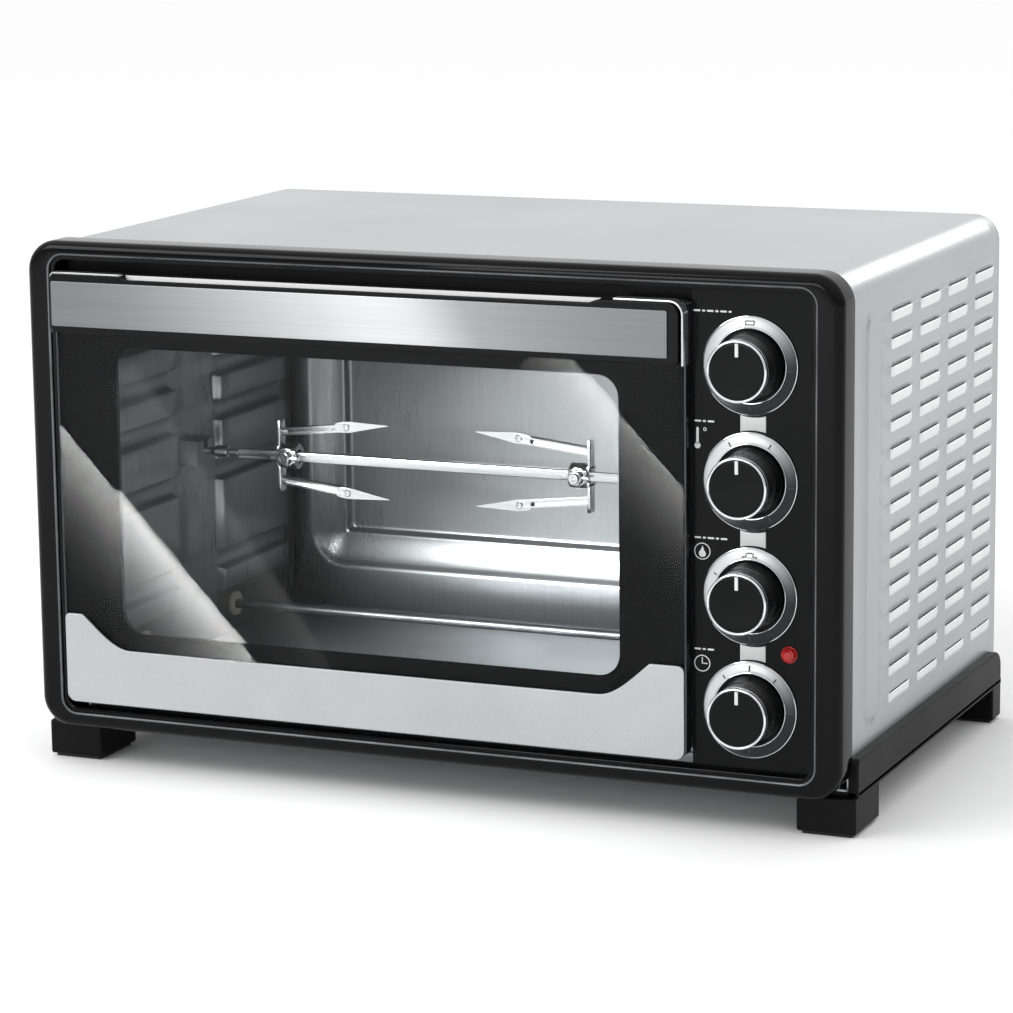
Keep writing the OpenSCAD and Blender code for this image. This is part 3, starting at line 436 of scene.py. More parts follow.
def louvreLift(y, z, back):
    column = min(max(round((louvreY(0, back) - y) / casing["pitchY"]), 0), casing["columns"] - 1)
    row = min(max(round((z - louvreZ(0)) / casing["pitchZ"]), 0), casing["rows"] - 1)
    u, v = y - louvreY(column, back), z - louvreZ(row)
    half = casing["louvreHigh"] / 2
    if v > half + 0.01:
        return 0.0
    # the upper edge is cut, so the outline runs on above it
    inside = insideRect(u, v - 3, casing["louvreLong"] / 2, half + 3, 3.6)
    return casing["louvreOut"] * smoothStep(inside / 2.6) ** 0.7


def casingLift(y, z, back):
    lift = louvreLift(y, z, back)
    middle = (casing["beadLow"] + casing["beadTop"]) / 2
    inside = insideRect(y - casing["beadY"], z - middle, casing["beadWide"] / 2,
                        (casing["beadTop"] - casing["beadLow"]) / 2, casing["beadWide"] / 2)
    return max(lift, casing["beadOut"] * smoothStep(inside / 2.6))


def makeCasing():
    low, high = boxOf("rear_cover")
    side = (high.x - low.x) / 2
    top, back = high.z, low.y
    r = casing["corner"]
    half = casing["louvreHigh"] / 2
    sideZ = {casing["low"], 8, 16, top - r}
    cuts = set()
    for j in range(casing["rows"]):
        mid = louvreZ(j)
        for k in range(7):
            sideZ.add(round(mid + half - casing["louvreHigh"] * (k / 6) ** 1.1, 3))
        sideZ.add(round(mid + half + 0.06, 3))
        cuts.add(round(mid + half, 3))
        sideZ.update((round(mid - half - 0.6, 3), round(mid - casing["pitchZ"] / 2, 3)))
    for end in (casing["beadLow"], casing["beadTop"]):
        sideZ.update(end + k * 1.3 for k in range(-1, 12) if casing["low"] < end + k * 1.3 < top - r)
    sideZ = sorted(sideZ)
    ys = {casing["front"], back, casing["front"] + 8, casing["front"] + 16}
    for i in range(casing["columns"]):
        mid, reach = louvreY(i, back), casing["louvreLong"] / 2
        for k in range(5):
            ys.update((round(mid - reach + k * 1.15, 3), round(mid + reach - k * 1.15, 3)))
        ys.update((mid - 9, mid, mid + 9))
    beadHalf = casing["beadWide"] / 2
    for k in range(8):
        ys.update((casing["beadY"] - beadHalf + k * 0.9, casing["beadY"] + beadHalf - k * 0.9))
    ys.add(casing["beadY"])
    ys = sorted(y for y in ys if casing["front"] <= y <= back)
    path = [(side, z, Vector((1, 0, 0))) for z in sideZ]  # up the right side, over the top, down the left
    steps = 14
    for k in range(1, steps):
        a = math.pi / 2 * k / steps
        n = Vector((math.cos(a), 0, math.sin(a)))
        path.append((side - r + r * n.x, top - r + r * n.z, n))
    for k in range(11):
        path.append((side - r - 2 * (side - r) * k / 10, top, Vector((0, 0, 1))))
    rightPart = path[:len(sideZ) + steps - 1]
    path += [(-x, z, Vector((-n.x, 0, n.z))) for x, z, n in reversed(rightPart)]
    bm = bmesh.new()
    grid = []
    lifts = []
    for x, z, n in path:
        onSide = abs(n.x) > 0.999
        lift = [casingLift(y, z, back) if onSide else 0.0 for y in ys]
        lifts.append(lift)
        grid.append([bm.verts.new(Vector((x, y, z)) + n * up) for y, up in zip(ys, lift)])
    for i in range(len(grid) - 1):
        zHere, zNext = path[i][1], path[i + 1][1]
        onSide = abs(path[i][2].x) > 0.999
        isCut = onSide and round(min(zHere, zNext), 3) in cuts and abs(zNext - zHere) < 0.2
        for j in range(len(ys) - 1):
            raised = max(lifts[i][j], lifts[i + 1][j], lifts[i][j + 1], lifts[i + 1][j + 1])
            if isCut and raised > 0.3 and abs(ys[j] - casing["beadY"]) > beadHalf + 1:
                continue  # the mouth of a louvre stays open
            face = bm.faces.new((grid[i][j], grid[i + 1][j], grid[i + 1][j + 1], grid[i][j + 1]))
            # louvre faces take the brighter sheet, a painted highlight
            if raised > 0.35 and onSide and ys[j] > casing["beadY"] + beadHalf + 1:
                face.material_index = 1  # louvre face
    bmesh.ops.recalc_face_normals(bm, faces=bm.faces)
    middle = Vector((0, 0, 100))
    outward = sum(f.normal.dot((f.calc_center_median() - middle) * Vector((1, 0, 1))) for f in bm.faces)
    if outward < 0:
        bmesh.ops.reverse_faces(bm, faces=bm.faces)
    makeSheet(bm, "casing_wrap", ["coatedSheet", "louvreHighlightSheet"], casing["thick"], "outer_casing",
              50)


makeCasing()
print("casing made")


# ---- front bezel: bullnose ring with a shallow step round the opening

bezel = {"corner": 20, "edge": 6.5, "rimSide": 20, "rimTop": 12, "rimLow": 13.5, "openCorner": 7,
         "step": 3, "stepDepth": 2, "softening": 0.9}


def makeBezel():
    low, high = boxOf("front_bezel")
    outer = roundRect(low.x, high.x, low.z, high.z, bezel["corner"], 14)
    x0, x1 = low.x + bezel["rimSide"], high.x - bezel["rimSide"]
    z0, z1 = low.z + bezel["rimLow"], high.z - bezel["rimTop"]
    opening = roundRect(x0, x1, z0, z1, bezel["openCorner"], 14)
    step = bezel["step"]
    shelf = roundRect(x0 - step, x1 + step, z0 - step, z1 + step, bezel["openCorner"] + step, 14)
    loops = [atDepth(outer, high.y)]
    bull = bezel["edge"]
    for k in range(9):
        a = math.pi / 2 * k / 8
        loops.append(atDepth(inset(outer, bull * (1 - math.cos(a))), bull * (1 - math.sin(a))))
    soft = bezel["softening"]
    for grow, y in ((1.5 * soft, 0.0), (0.75 * soft, 0.08), (0.3 * soft, 0.3), (0, soft),
                    (0, bezel["stepDepth"])):
        loops.append(atDepth(inset(shelf, -grow), y))
    for grow, y in ((soft, 0), (0.3 * soft, 0.3 * soft), (0, soft)):
        loops.append(atDepth(inset(opening, -grow), bezel["stepDepth"] + y))
    loops.append(atDepth(opening, high.y))
    bm = bmesh.new()
    rows = loft(bm, loops, ring=True)
    # the step's rounded edge gets the grey painted highlight
    edge = {v for row in rows[10:14] for v in row}
    for face in bm.faces:
        if all(v in edge for v in face.verts):
            face.material_index = 1
    makePiece(bm, "bezel_ring", ["glossAbs", "bezelStepHighlight"], root, ["front_bezel"], 40)


makeBezel()


# ---- control panel: dial rings, print, tabs, lamp

panel = {"dialX": 215, "front": 8, "lowest": 52.0, "pitch": 70.233, "ringOut": 30.2, "ringIn": 22.4,
         "tabHalf": 8.1, "tabGap": 0.9, "ink": 0.1}
dialNames = ("timer", "selector", "temperature", "function")


def dialZ(i):
    return panel["lowest"] + i * panel["pitch"]


lowestDial = toRow @ Vector((panel["dialX"], 0, dialZ(0)))
makeDialPaintedShade("dialSilverPaintedShade", lowestDial.x, lowestDial.z, panel["pitch"] / 1000)


def ringHeight(r):
    return 0.7 + (29.0 - r) / (29.0 - 23.2) * 1.3


def dialMark(bm, z, degrees, r0, r1, wide):
    a = math.radians(90 - degrees)
    along = Vector((math.cos(a), 0, math.sin(a)))
    across = Vector((along.z, 0, -along.x))
    y0, y1 = panel["front"] - ringHeight(r0), panel["front"] - ringHeight(r1)
    centre = Vector((panel["dialX"], 0, z))
    lower, upper = [], []
    for r, y in ((r0, y0), (r1, y1)):
        for s in (-1, 1):
            p = centre + along * r + across * (s * wide / 2)
            lower.append(p + Vector((0, y + 0.2, 0)))
            upper.append(p + Vector((0, y - panel["ink"], 0)))
    order = (0, 1, 3, 2)
    loft(bm, [[lower[k] for k in order], [upper[k] for k in order]], True)


def makeDials():
    ring = [(22.4, 0), (22.4, 1.9), (22.6, 2.15), (22.9, 2.2), (23.15, 2.05), (23.2, 1.9)]
    ring += [(r, ringHeight(r)) for r in (23.4, 25, 27, 28.8)]
    ring += [(29.0, 0.6), (29.3, 1.3), (29.6, 1.55), (29.95, 1.4), (30.2, 1.0), (30.2, 0)]
    bm = bmesh.new()
    for i in range(4):
        turned(bm, ring + [ring[0]], (panel["dialX"], panel["front"], dialZ(i)), segments=96)
    bm.faces.ensure_lookup_table()
    for face in bm.faces:
        middle = face.calc_center_median()
        r = math.hypot(middle.x - panel["dialX"], (middle.z - panel["lowest"] + panel["pitch"] / 2)
                       % panel["pitch"] - panel["pitch"] / 2)
        face.material_index = 1 if r > 29.05 or r < 23.1 else 0  # plated rims
    makePiece(bm, "dial_plates", ["dialSilverPaintedShade", "chromePlate"], root, ["dial_rings"], 30)
    bm = bmesh.new()
    marks = {"timer": [(0, 24, 27.6, 1.1), (-40, 24, 26.6, 0.9), (40, 24, 26.6, 0.9), (90, 24, 27.4, 0.8),
                       (180, 24, 27, 0.8), (-100, 24, 26.6, 0.8)],
             "selector": [(90, 24, 27.8, 0.8), (180, 24, 27, 0.8), (-60, 24, 26.4, 0.8),
                          (-5, 24.2, 26.6, 0.7), (5, 24.2, 26.6, 0.7), (0, 26.2, 27, 3.6),
                          (-9, 24.2, 25, 2.2), (9, 24.2, 25, 2.2)],  # the last five draw a small hood
             "temperature": [(-30, 24, 27, 0.9), (30, 24, 27, 0.9), (95, 24, 28, 0.8), (150, 24, 26.6, 0.8)],
             "function": [(95, 24, 27.4, 0.8), (-90, 24, 27, 0.8), (180, 24, 26.6, 0.8),
                          (-6, 24.4, 27.2, 0.6), (6, 24.4, 27.2, 0.6), (0, 24.4, 25, 5.6),
                          (0, 26.6, 27.2, 5.6)]}  # the last four draw a small oven
    for i, name in enumerate(dialNames):
        for degrees, r0, r1, wide in marks[name]:
            dialMark(bm, dialZ(i), degrees, r0, r1, wide)
    makePiece(bm, "dial_print", "darkInk", root)


def makeTabs():
    bm = bmesh.new()
    reach = panel["ringOut"] + panel["tabGap"]
    for i in range(3):
        outline = []
        steps = 8
        xs = [-panel["tabHalf"] + 2 * panel["tabHalf"] * k / steps for k in range(steps + 1)]
        for x in xs:
            outline.append((panel["dialX"] + 1.8 + x, dialZ(i) + math.sqrt(reach ** 2 - x ** 2)))
        for x in reversed(xs):
            outline.append((panel["dialX"] + 1.8 + x, dialZ(i + 1) - math.sqrt(reach ** 2 - x ** 2)))
        plate(bm, outline, panel["front"] - 0.7, panel["front"] + 0.05, 0.3)
    makePiece(bm, "panel_tabs", "tabPaint", root, smooth=50)


def inkRing(bm, x, z, r, wide, parts=40):
    profile = [(r - wide, -0.05), (r - wide, panel["ink"]), (r, panel["ink"]), (r, -0.05), (r - wide, -0.05)]
    turned(bm, profile, (x, panel["front"], z), segments=parts)


def inkShape(bm, outline):
    loft(bm, [atDepth(outline, panel["front"] + 0.05), atDepth(outline, panel["front"] - panel["ink"])], True)


def inkLine(bm, a, b, wide):
    a, b = Vector(a), Vector(b)
    side = Vector((-(b - a).y, (b - a).x)).normalized() * wide / 2
    inkShape(bm, [tuple(a - side), tuple(b - side), tuple(b + side), tuple(a + side)])


def makePrint():
    bm = bmesh.new()
    for x0, x1, z in ((179, 203, 294.4), (179.4, 192.5, 227.6), (179.3, 202, 156.2), (179.2, 193.2, 87.2)):
        x = x0
        long = True
        while x < x1 - 1:
            end = min(x + (4.2 if long else 2.0), x1)
            inkShape(bm, roundRect(x, end, z - 0.55, z + 0.55, 0.4, 2))
            x, long = end + 1.1, not long
    # thermometer
    inkShape(bm, roundRect(180.5, 182.1, 213.5, 223.8, 0.75, 4))
    turned(bm, [(0, -0.05), (1.9, -0.05), (1.9, panel["ink"]), (0, panel["ink"])],
           (181.3, panel["front"], 212.6), segments=24)
    inkRing(bm, 186.0, 222.6, 1.1, 0.45, 20)
    # flame in a circle
    inkRing(bm, 184.3, 147.8, 5.2, 0.55)
    flame = [(0, -3.6), (1.5, -3.2), (2.3, -2.0), (2.0, -0.5), (1.1, 0.4), (0.9, 1.6), (0.1, 3.4),
             (-0.5, 1.8), (-1.4, 0.4), (-2.2, -0.8), (-2.1, -2.3), (-1.3, -3.3)]
    inkShape(bm, [(184.3 + x, 147.8 + z) for x, z in flame])
    # clock
    inkRing(bm, 184.2, 78.3, 5.2, 0.6)
    inkLine(bm, (184.2, 78.0), (184.2, 82.0), 0.6)
    inkLine(bm, (184.2, 78.3), (187.6, 78.3), 0.6)
    makePiece(bm, "panel_print", "whiteInk", root, smooth=60)


def makePilot():
    low, high = boxOf("pilot_lamp_lens")
    centre = ((low.x + high.x) / 2, panel["front"], (low.z + high.z) / 2)
    bm = bmesh.new()
    turned(bm, [(0, 0), (5.2, 0), (5.2, 0.9), (4.7, 1.3), (4.5, 1.3)], centre, segments=32)
    turned(bm, [(4.5, 1.3), (4.2, 3.4), (2.6, 4.8), (0, 5.0)], centre, segments=8, phase=math.pi / 8)
    makePiece(bm, "pilot_cap", "redLens", root, ["pilot_lamp_lens"], 12)


makeDials()
makeTabs()
makePrint()
makePilot()
print("panel made")


# ---- knobs: ribbed skirt, chrome ring, dished face and pointer

knob = {"long": 26, "gap": 0.5, "radius": 18.9, "skirt": 21, "ringWide": 1.6, "ringDeep": 4, "ribs": 48}


def makeKnob(i, name):
    body = name + "_control"
    centre = Vector((panel["dialX"], panel["front"], dialZ(i)))
    length, r = knob["long"], knob["radius"]
    inner = r - knob["ringWide"]
    bm = bmesh.new()
    profile = [(3, knob["gap"]), (knob["skirt"] - 0.4, knob["gap"]), (knob["skirt"], knob["gap"] + 0.4),
               (knob["skirt"], 2.6), (knob["skirt"] - 0.4, 3.2), (r + 1.0, 5.2), (r + 0.3, 7.4), (r, 9.5),
               (r, length - knob["ringDeep"] - 0.1), (inner, length - knob["ringDeep"] - 0.1),
               (inner, length - 1.1), (inner - 0.5, length - 0.85), (inner - 2.2, length - 0.9),
               (inner * 0.55, length - 1.5), (0, length - 1.8)]
    sides = knob["ribs"] * 4
    turned(bm, profile, centre, segments=sides)
    for v in bm.verts:
        out = Vector((v.co.x - centre.x, 0, v.co.z - centre.z))
        height = centre.y - v.co.y
        if out.length > r - 0.5 and 9 < height < length - knob["ringDeep"] - 0.05:
            step = round(math.atan2(out.z, out.x) / (2 * math.pi) * sides) % 4
            v.co -= out.normalized() * (0.0 if step < 2 else 0.22)
    makePiece(bm, name + "_grip", "knobPhenolic", body, [name + "_knob"], 32)
    bm = bmesh.new()
    base = length - knob["ringDeep"]
    ring = [(inner, base), (r, base), (r + 0.05, base + 0.3), (r + 0.05, length - 1.0),
            (r - 0.15, length - 0.45), (r - 0.6, length - 0.08), (r - 1.0, length),
            (inner + 0.4, length - 0.12), (inner, length - 0.6), (inner, base)]
    turned(bm, ring, centre, segments=96)
    makePiece(bm, name + "_bright_ring", "chromePlate", body, [name + "_knob_ring"], 35)
    bm = bmesh.new()
    outline = roundRect(centre.x - 1.05, centre.x + 1.05, centre.z + 8.6, centre.z + inner - 0.5, 0.5, 4)
    loops = [[Vector((x, centre.y - length + 2.0, z)) for x, z in outline],
             [Vector((x, centre.y - length + 0.72, z)) for x, z in outline],
             [Vector((x, centre.y - length + 0.62, z)) for x, z in inset(outline, 0.12)]]
    loft(bm, loops, True)
    makePiece(bm, name + "_pointer", "whiteInk", body)


for i, name in enumerate(dialNames):
    makeKnob(i, name)
print("knobs made")


# ---- door: pane, trim, handle, edge strip

door = {"left": -254, "right": 177, "low": 18.3, "top": 301.5, "glassRight": 175.5, "glassTop": 262,
        "corner": 6, "paneFront": 0.5, "paneBack": 3.5, "trimFront": -0.8, "trimHigh": 36.7, "endHigh": 58.7,
        "handleFront": -6, "handleBack": 3.8, "plateFront": -7.2, "plateLow": 266.5, "plateTop": 295.4,
        "lipTop": 298, "recessLeft": -198, "recessRight": 116.5, "recessLow": 286}


def makePane():
    bm = bmesh.new()
    outline = roundRect(door["left"], door["glassRight"], door["low"], door["glassTop"], door["corner"], 6)
    plate(bm, outline, door["paneFront"], door["paneBack"], 0.35, 2)
    makePiece(bm, "door_pane", "doorPane", "door", ["door_glass"], 10)


def trimOutline():
    x0, x1, z0 = door["left"], door["glassRight"], door["low"]
    high, end = z0 + door["trimHigh"], z0 + door["endHigh"]
    rise = end - high
    corner = door["corner"]
    run = 34  # length of the curved shoulder below each raised end
    topRight, topLeft = x1 - 22.5, x0 + 12.5  # where the shoulders start
    flatRight, flatLeft = topRight - run, x0 + 46

    def shoulder(t):
        return high + rise * (1 - t) ** 2 * (1 + 0.7 * t) if t < 1 else high

    points = arc(x0 + corner, z0 + corner, corner, 180, 270, 6)
    points += [(x0 + (x1 - x0) * k / 6, z0) for k in range(1, 6)]
    points += arc(x1 - corner, z0 + corner, corner, -90, 0, 6) + arc(x1 - 4, end - 4, 4, 0, 90, 6)
    points += [(topRight - run * k / 12, shoulder(k / 12)) for k in range(13)]
    points += [(flatRight + (flatLeft - flatRight) * k / 6, high) for k in range(1, 6)]
    points += [(topLeft + run * k / 12, shoulder(k / 12)) for k in range(12, -1, -1)]
    return points + arc(x0 + 3, end - 3, 3, 90, 180, 3)


def makeTrim():
    bm = bmesh.new()
    plate(bm, trimOutline(), door["trimFront"], door["paneFront"], 0.6, 3)
    makePiece(bm, "door_lower_trim", "satinAluminium", "door", ["door_trim"], 50, even=True)


# Outline of the handle; the middle of its top edge, over the finger recess, can be lower
def handleOutline(middleTop):
    x0, x1 = door["left"], door["glassRight"] - 1.2
    z0, z1 = door["glassTop"] + 0.5, door["top"] - 1.5
    points = arc(x0 + 3, z0 + 3, 3, 180, 270, 6) + arc(x1 - 3, z0 + 3, 3, -90, 0, 6)
    points += arc(x1 - 7.5, z1 - 7.5, 7.5, 0, 90, 9)
    points += [(door["recessRight"] + 6, z1), (door["recessRight"], middleTop),
               (door["recessLeft"], middleTop), (door["recessLeft"] - 6, z1)]
    return points + arc(x0 + 3, z1 - 3, 3, 90, 180, 6)


def makeHandle():
    x0, x1 = door["left"], door["glassRight"]
    z1 = door["top"] - 1.5
    front, back = door["handleFront"], door["handleBack"]
    lip, web = front + 1.8, back - 1.4
    bm = bmesh.new()
    plate(bm, handleOutline(door["lipTop"]), front, lip, 0.8, 4)
    loft(bm, [atDepth(handleOutline(door["recessLow"]), y) for y in (lip, web)], True)
    loft(bm, [atDepth(handleOutline(z1 - 0.01), y) for y in (web, back)], True)
    makePiece(bm, "handle_bar", "glossAbs", "door", ["handle_body"], 40, even=True)
    bm = bmesh.new()
    outline = roundRect(x0 + 1.2, x1 - 8, door["plateLow"], door["plateTop"], 1.2, 4)
    plate(bm, outline, door["plateFront"], front, 0.5)
    makePiece(bm, "handle_face", "handleSteel", "door", ["handle_plate"], 50, even=True)
    # near-white piece on the back of the finger recess, curved like a scoop: a painted reflection of the
    # light inside the recess
    bm = bmesh.new()
    rows = []
    for k in range(9):
        t = k / 8
        z = door["recessLow"] + (z1 - 0.1 - door["recessLow"]) * t
        rows.append((web - 0.1 - 2.2 * (1 - math.sin(math.pi / 2 * t)) ** 1.4, z))
    loops = []
    high = z1 - door["recessLow"]
    for side, lean in ((door["recessLeft"], -5.4), (door["recessRight"], 5.4)):
        front = [Vector((side + lean * (z - door["recessLow"]) / high, y, z)) for y, z in rows]
        loops.append(front + [Vector((p.x, web + 0.05, p.z)) for p in reversed(front)])
    loft(bm, loops, True)
    makePiece(bm, "recess_reflection_fill", "paleLiner", "door", smooth=50)


# Thin strip along a path of (x, z, front, back) rows; painted highlight above the split height, its darker
# shaded copy below it
def edgeStrip(bm, path, wide, split):
    loops = []
    for i, (x, z, front, back) in enumerate(path):
        ax, az = path[max(i - 1, 0)][:2]
        bx, bz = path[min(i + 1, len(path) - 1)][:2]
        along = Vector((bx - ax, bz - az)).normalized()
        nx, nz = -along.y, along.x
        section = [(0, back), (0, front + 0.35), (0.12, front + 0.1), (0.35, front),
                   (wide - 0.3, front + 0.05), (wide, front + 0.35), (wide, back)]
        loops.append([Vector((x + nx * s, y, z + nz * s)) for s, y in section])
    loft(bm, loops, True)
    for face in bm.faces:
        face.material_index = 0 if face.calc_center_median().z > split else 1


# Evenly spaced points from the first (x, z) to the second, with both ends
def straight(first, second, steps):
    return [tuple(Vector(first).lerp(Vector(second), k / steps)) for k in range(steps + 1)]


def atDepths(points, front, back):
    return [(x, z, front, back) for x, z in points]


def makeEdgeStrip():
    x1, z1, corner = door["right"], door["top"], 9
    low, split = door["low"] + 4, door["glassTop"]
    path = atDepths(straight((x1, low), (x1, split), 6), -0.2, 7.5)
    upper = straight((x1, split + 0.1), (x1, z1 - corner + 0.1), 4)
    upper += arc(x1 - corner, z1 - corner, corner, 0, 90, 8)[1:]
    upper += straight((x1 - corner, z1), (door["recessRight"] + 16, z1), 4)[1:]
    bm = bmesh.new()
    edgeStrip(bm, path + atDepths(upper, -5.0, 3.8), 1.4, split)
    makePiece(bm, "door_side_strip", ["edgeStripHighlight", "edgeStripShadedCopy"], "door", ["door_edge_strip"],
              40)
    # bright line along the door's left edge and the left end of the handle, a painted highlight of those
    # edges, with its darker shaded copy lower down
    x0, z1, corner = door["left"] - 0.4, door["top"] - 0.3, 3.4
    path = atDepths(straight((door["recessLeft"] - 6, z1), (x0 + corner, z1), 4), -5.7, 0.8)
    side = arc(x0 + corner, z1 - corner, corner, 90, 180, 6)[1:]
    side += straight((x0, z1 - corner), (x0, split), 3)[1:]
    path += atDepths(side, -5.3, 0.8)
    path += atDepths(straight((x0, split - 0.1), (x0, low + 33.9), 5), 0.3, 0.9)
    bm = bmesh.new()
    edgeStrip(bm, path, 1.25, door["top"] - 6)
    makePiece(bm, "door_left_edge_highlight", ["edgeStripHighlight", "edgeStripShadedCopy"], "door", smooth=40)


# Dark lip that fills the gap above the door with painted shade, fixed in front of the ceiling's flange
def makeGapShadeLip():
    bm = bmesh.new()
    plate(bm, roundRect(door["left"] + 1, door["right"] - 1, 297, 307.4, 2, 4), 15.2, 16, 0.2, 1)
    makePiece(bm, "ceiling_gap_shade", "printedBlack", root)


makePane()
makeTrim()
makeHandle()
makeEdgeStrip()
makeGapShadeLip()
print("door made")


# ---- runners

runner = {"wide": 38, "out": 6.5, "top": 22, "pad": 2, "front": (18, 66), "rear": (318, 338)}


def makeRunner(name, node, mirror):
    low, high = boxOf(node)
    outer = high.x if not mirror else -low.x
    inner = outer - runner["wide"]
    bm = bmesh.new()
    back = high.y
    floorZ = low.z
    block(bm, (inner, 23, -2), (outer, back, 2), 0.5)
    # side rail with a rounded rear end
    side = outer - runner["out"]
    r = 12
    outline = [(23, -2), (back, -2)] + arc(back - r, runner["top"] - r, r, 0, 90, 9)
    outline += [(27, runner["top"]), (23, runner["top"] - 3)]
    edge = 1.6
    loops = [[Vector((side + 0.3, y, z)) for y, z in outline]]
    for k in range(4):
        a = math.pi / 2 * k / 3
        loops.append([Vector((outer - edge + edge * math.sin(a), y, z))
                      for y, z in inset(outline, edge * (1 - math.cos(a)))])
    loft(bm, loops, True)
    for y0, y1 in (runner["front"], runner["rear"]):
        block(bm, (inner, y0, floorZ), (outer, y1, -1.0), 1.6, 3)
    if mirror:
        for v in bm.verts:
            v.co.x = -v.co.x
    makePiece(bm, name, "grainedAbs", root, [node], 40, even=True)


makeRunner("runner_right", "right_runner", False)
makeRunner("runner_left", "left_runner", True)


# ---- cavity: pressed side wall, pressed back wall, heaters

cavity = {"left": -243, "right": 172, "low": 20, "top": 295, "front": 16, "back": 313,
          "padOut": 7, "padSoft": 3.2, "padRanges": ((30, 130), (190, 292)),
          "padSpans": ((51.5, 71.5), (80.5, 134.5), (143.5, 176.5), (185.5, 207.5), (216.5, 240)),
          "heaterY": (84, 216), "heaterZ": (39, 273), "tube": 3.3, "thick": 0.9}


# Mesh rows crowded along both edges of each pad
def edgeRows(spans):
    return {end for low, high in spans for k in range(5) for end in (low + k * 0.9, high - k * 0.9)}


def makeLeftWall():
    def lift(y, z):
        best = 0.0
        for y0, y1 in cavity["padRanges"]:
            for z0, z1 in cavity["padSpans"]:
                inside = insideRect(y - (y0 + y1) / 2, z - (z0 + z1) / 2, (y1 - y0) / 2, (z1 - z0) / 2, 3.5)
                best = max(best, smoothStep(inside / cavity["padSoft"]))
        return best * cavity["padOut"]

    ys = {cavity["front"], cavity["back"]} | edgeRows(cavity["padRanges"])
    for y0, y1 in cavity["padRanges"]:
        ys.update(y0 + (y1 - y0) * k / 6 for k in range(1, 6))
    zs = {cavity["low"], cavity["top"]} | edgeRows(cavity["padSpans"])
    ys, zs = sorted(ys), sorted(zs)
    bm = bmesh.new()
    grid = [[bm.verts.new((cavity["left"] + lift(y, z), y, z)) for y in ys] for z in zs]
    for i in range(len(zs) - 1):
        for j in range(len(ys) - 1):
            bm.faces.new((grid[i][j], grid[i][j + 1], grid[i + 1][j + 1], grid[i + 1][j]))
    # turned-out flange behind the bezel
    lips = [bm.verts.new((-255, cavity["front"], z)) for z in zs]
    for i in range(len(zs) - 1):
        bm.faces.new((lips[i], grid[i][0], grid[i + 1][0], lips[i + 1]))
    makeSheet(bm, "cavity_side_left", ["cavitySheet"], cavity["thick"], "cavity_left_wall",
              60)


def makeBackWall():
    c = cavity
    bm = bmesh.new()
    outline = roundRect(c["left"] - 0.8, c["right"] + 0.8, c["low"] - 0.8, c["top"] + 0.8, 0.6, 12)
    loops = [atDepth(outline, c["back"])]
    steps = ((-3, 0), (-1, 0.15), (0.5, 0.9), (2, 2.2), (4, 3.4), (8, 5.0), (14, 6.8), (19, 8.0), (21.5, 8.3),
             (23, 8.5), (23.6, 9.2), (24.2, 11.6), (24.8, 13.2), (25.8, 13.8), (27.5, 14.0))
    for d, depth in steps:
        outline = roundRect(c["left"] + 15 + d, c["right"] - 15 - d, c["low"] + 30 + d, c["top"] - 30 - d,
                            max(24 - d, 3), 12)
        loops.append(atDepth(outline, c["back"] + depth))
    rows = loft(bm, loops)
    bm.faces.new(rows[-1])
    bmesh.ops.remove_doubles(bm, verts=bm.verts, dist=0.01)
    bmesh.ops.recalc_face_normals(bm, faces=bm.faces)
    if sum(f.normal.y * f.calc_area() for f in bm.faces) > 0:
        bmesh.ops.reverse_faces(bm, faces=bm.faces)
    makeSheet(bm, "cavity_rear", ["cavitySheet"], cavity["thick"], "cavity_back_wall", 50)


def makeHeaters():
    c = cavity
    tube = [(0, -14), (1.6, -14), (1.6, -6), (c["tube"], -5.6), (c["tube"], 20), (c["tube"], 395),
            (c["tube"], 420.6), (1.6, 421), (1.6, 429), (0, 429)]
    for z, node in zip(c["heaterZ"], ("lower_heaters", "upper_heaters")):
        bm = bmesh.new()
        for y in c["heaterY"]:
            turned(bm, tube, (c["left"], y, z), "right", 28)
        makePiece(bm, node.replace("heaters", "tubes"), "heaterTube", root, [node])
    collar = [(3.4, -7), (7.2, -7), (7.5, -6.7), (7.5, -1.2), (6.4, -0.9), (6.4, 0), (8.3, 0), (8.5, 0.3),
              (8.5, 2.2), (7.9, 2.9), (5.6, 3.0), (4.6, 2.4), (3.4, 2.4), (3.4, -7)]
    bm = bmesh.new()
    for y in c["heaterY"]:
        for z in c["heaterZ"]:
            turned(bm, collar, (c["left"], y, z), "right", 40)
            turned(bm, collar, (c["right"], y, z), "left", 40)
    makePiece(bm, "tube_insulators", "steatite", root, ["heater_insulators"])


makeLeftWall()
makeBackWall()
makeHeaters()
print("cavity made")


# ---- spit, forks, screws and bracket

spit = {"y": 150, "z": 160.5, "bar": 6.5, "leftHub": -163, "rightHub": 48, "hub": 8.5, "hubLong": 13,
        "prongLong": 74, "prongOut": 25}


def makeSpit():
    x0, x1 = cavity["left"], cavity["right"]
    bm = bmesh.new()
    centre = (x0, spit["y"], spit["z"])
    turned(bm, [(0, 4), (1.4, 4.3), (2.6, 5.4), (3.2, 7), (3.4, 8.6), (3.4, 11.6), (3.1, 12.2), (2.6, 12.6),
                (2.6, 20), (3.1, 20.8), (3.6, 22.2), (3.3, 23.6), (3.6, 24.4), (4.2, 25), (4.2, 32.4),
                (3.8, 33), (2.4, 33.6), (2.4, 40.5), (0, 40.5)], centre, "right", 32)
    half = spit["bar"] / 2
    tip = [(40.4, 0.6), (42.2, 1.0), (x1 - x0 - 6, 1.0), (x1 - x0 - 4, 0.7)]
    loops = []
    for x, scale in tip:
        reach = half * scale
        loops.append([Vector((x0 + x, spit["y"] + y, spit["z"] + z))
                      for y, z in roundRect(-reach, reach, -reach, reach, 0.55 * scale, 3)])
    loft(bm, loops, True)
    makePiece(bm, "spit_bar", "polishedSteel", "spit", ["spit_shaft"], 30)


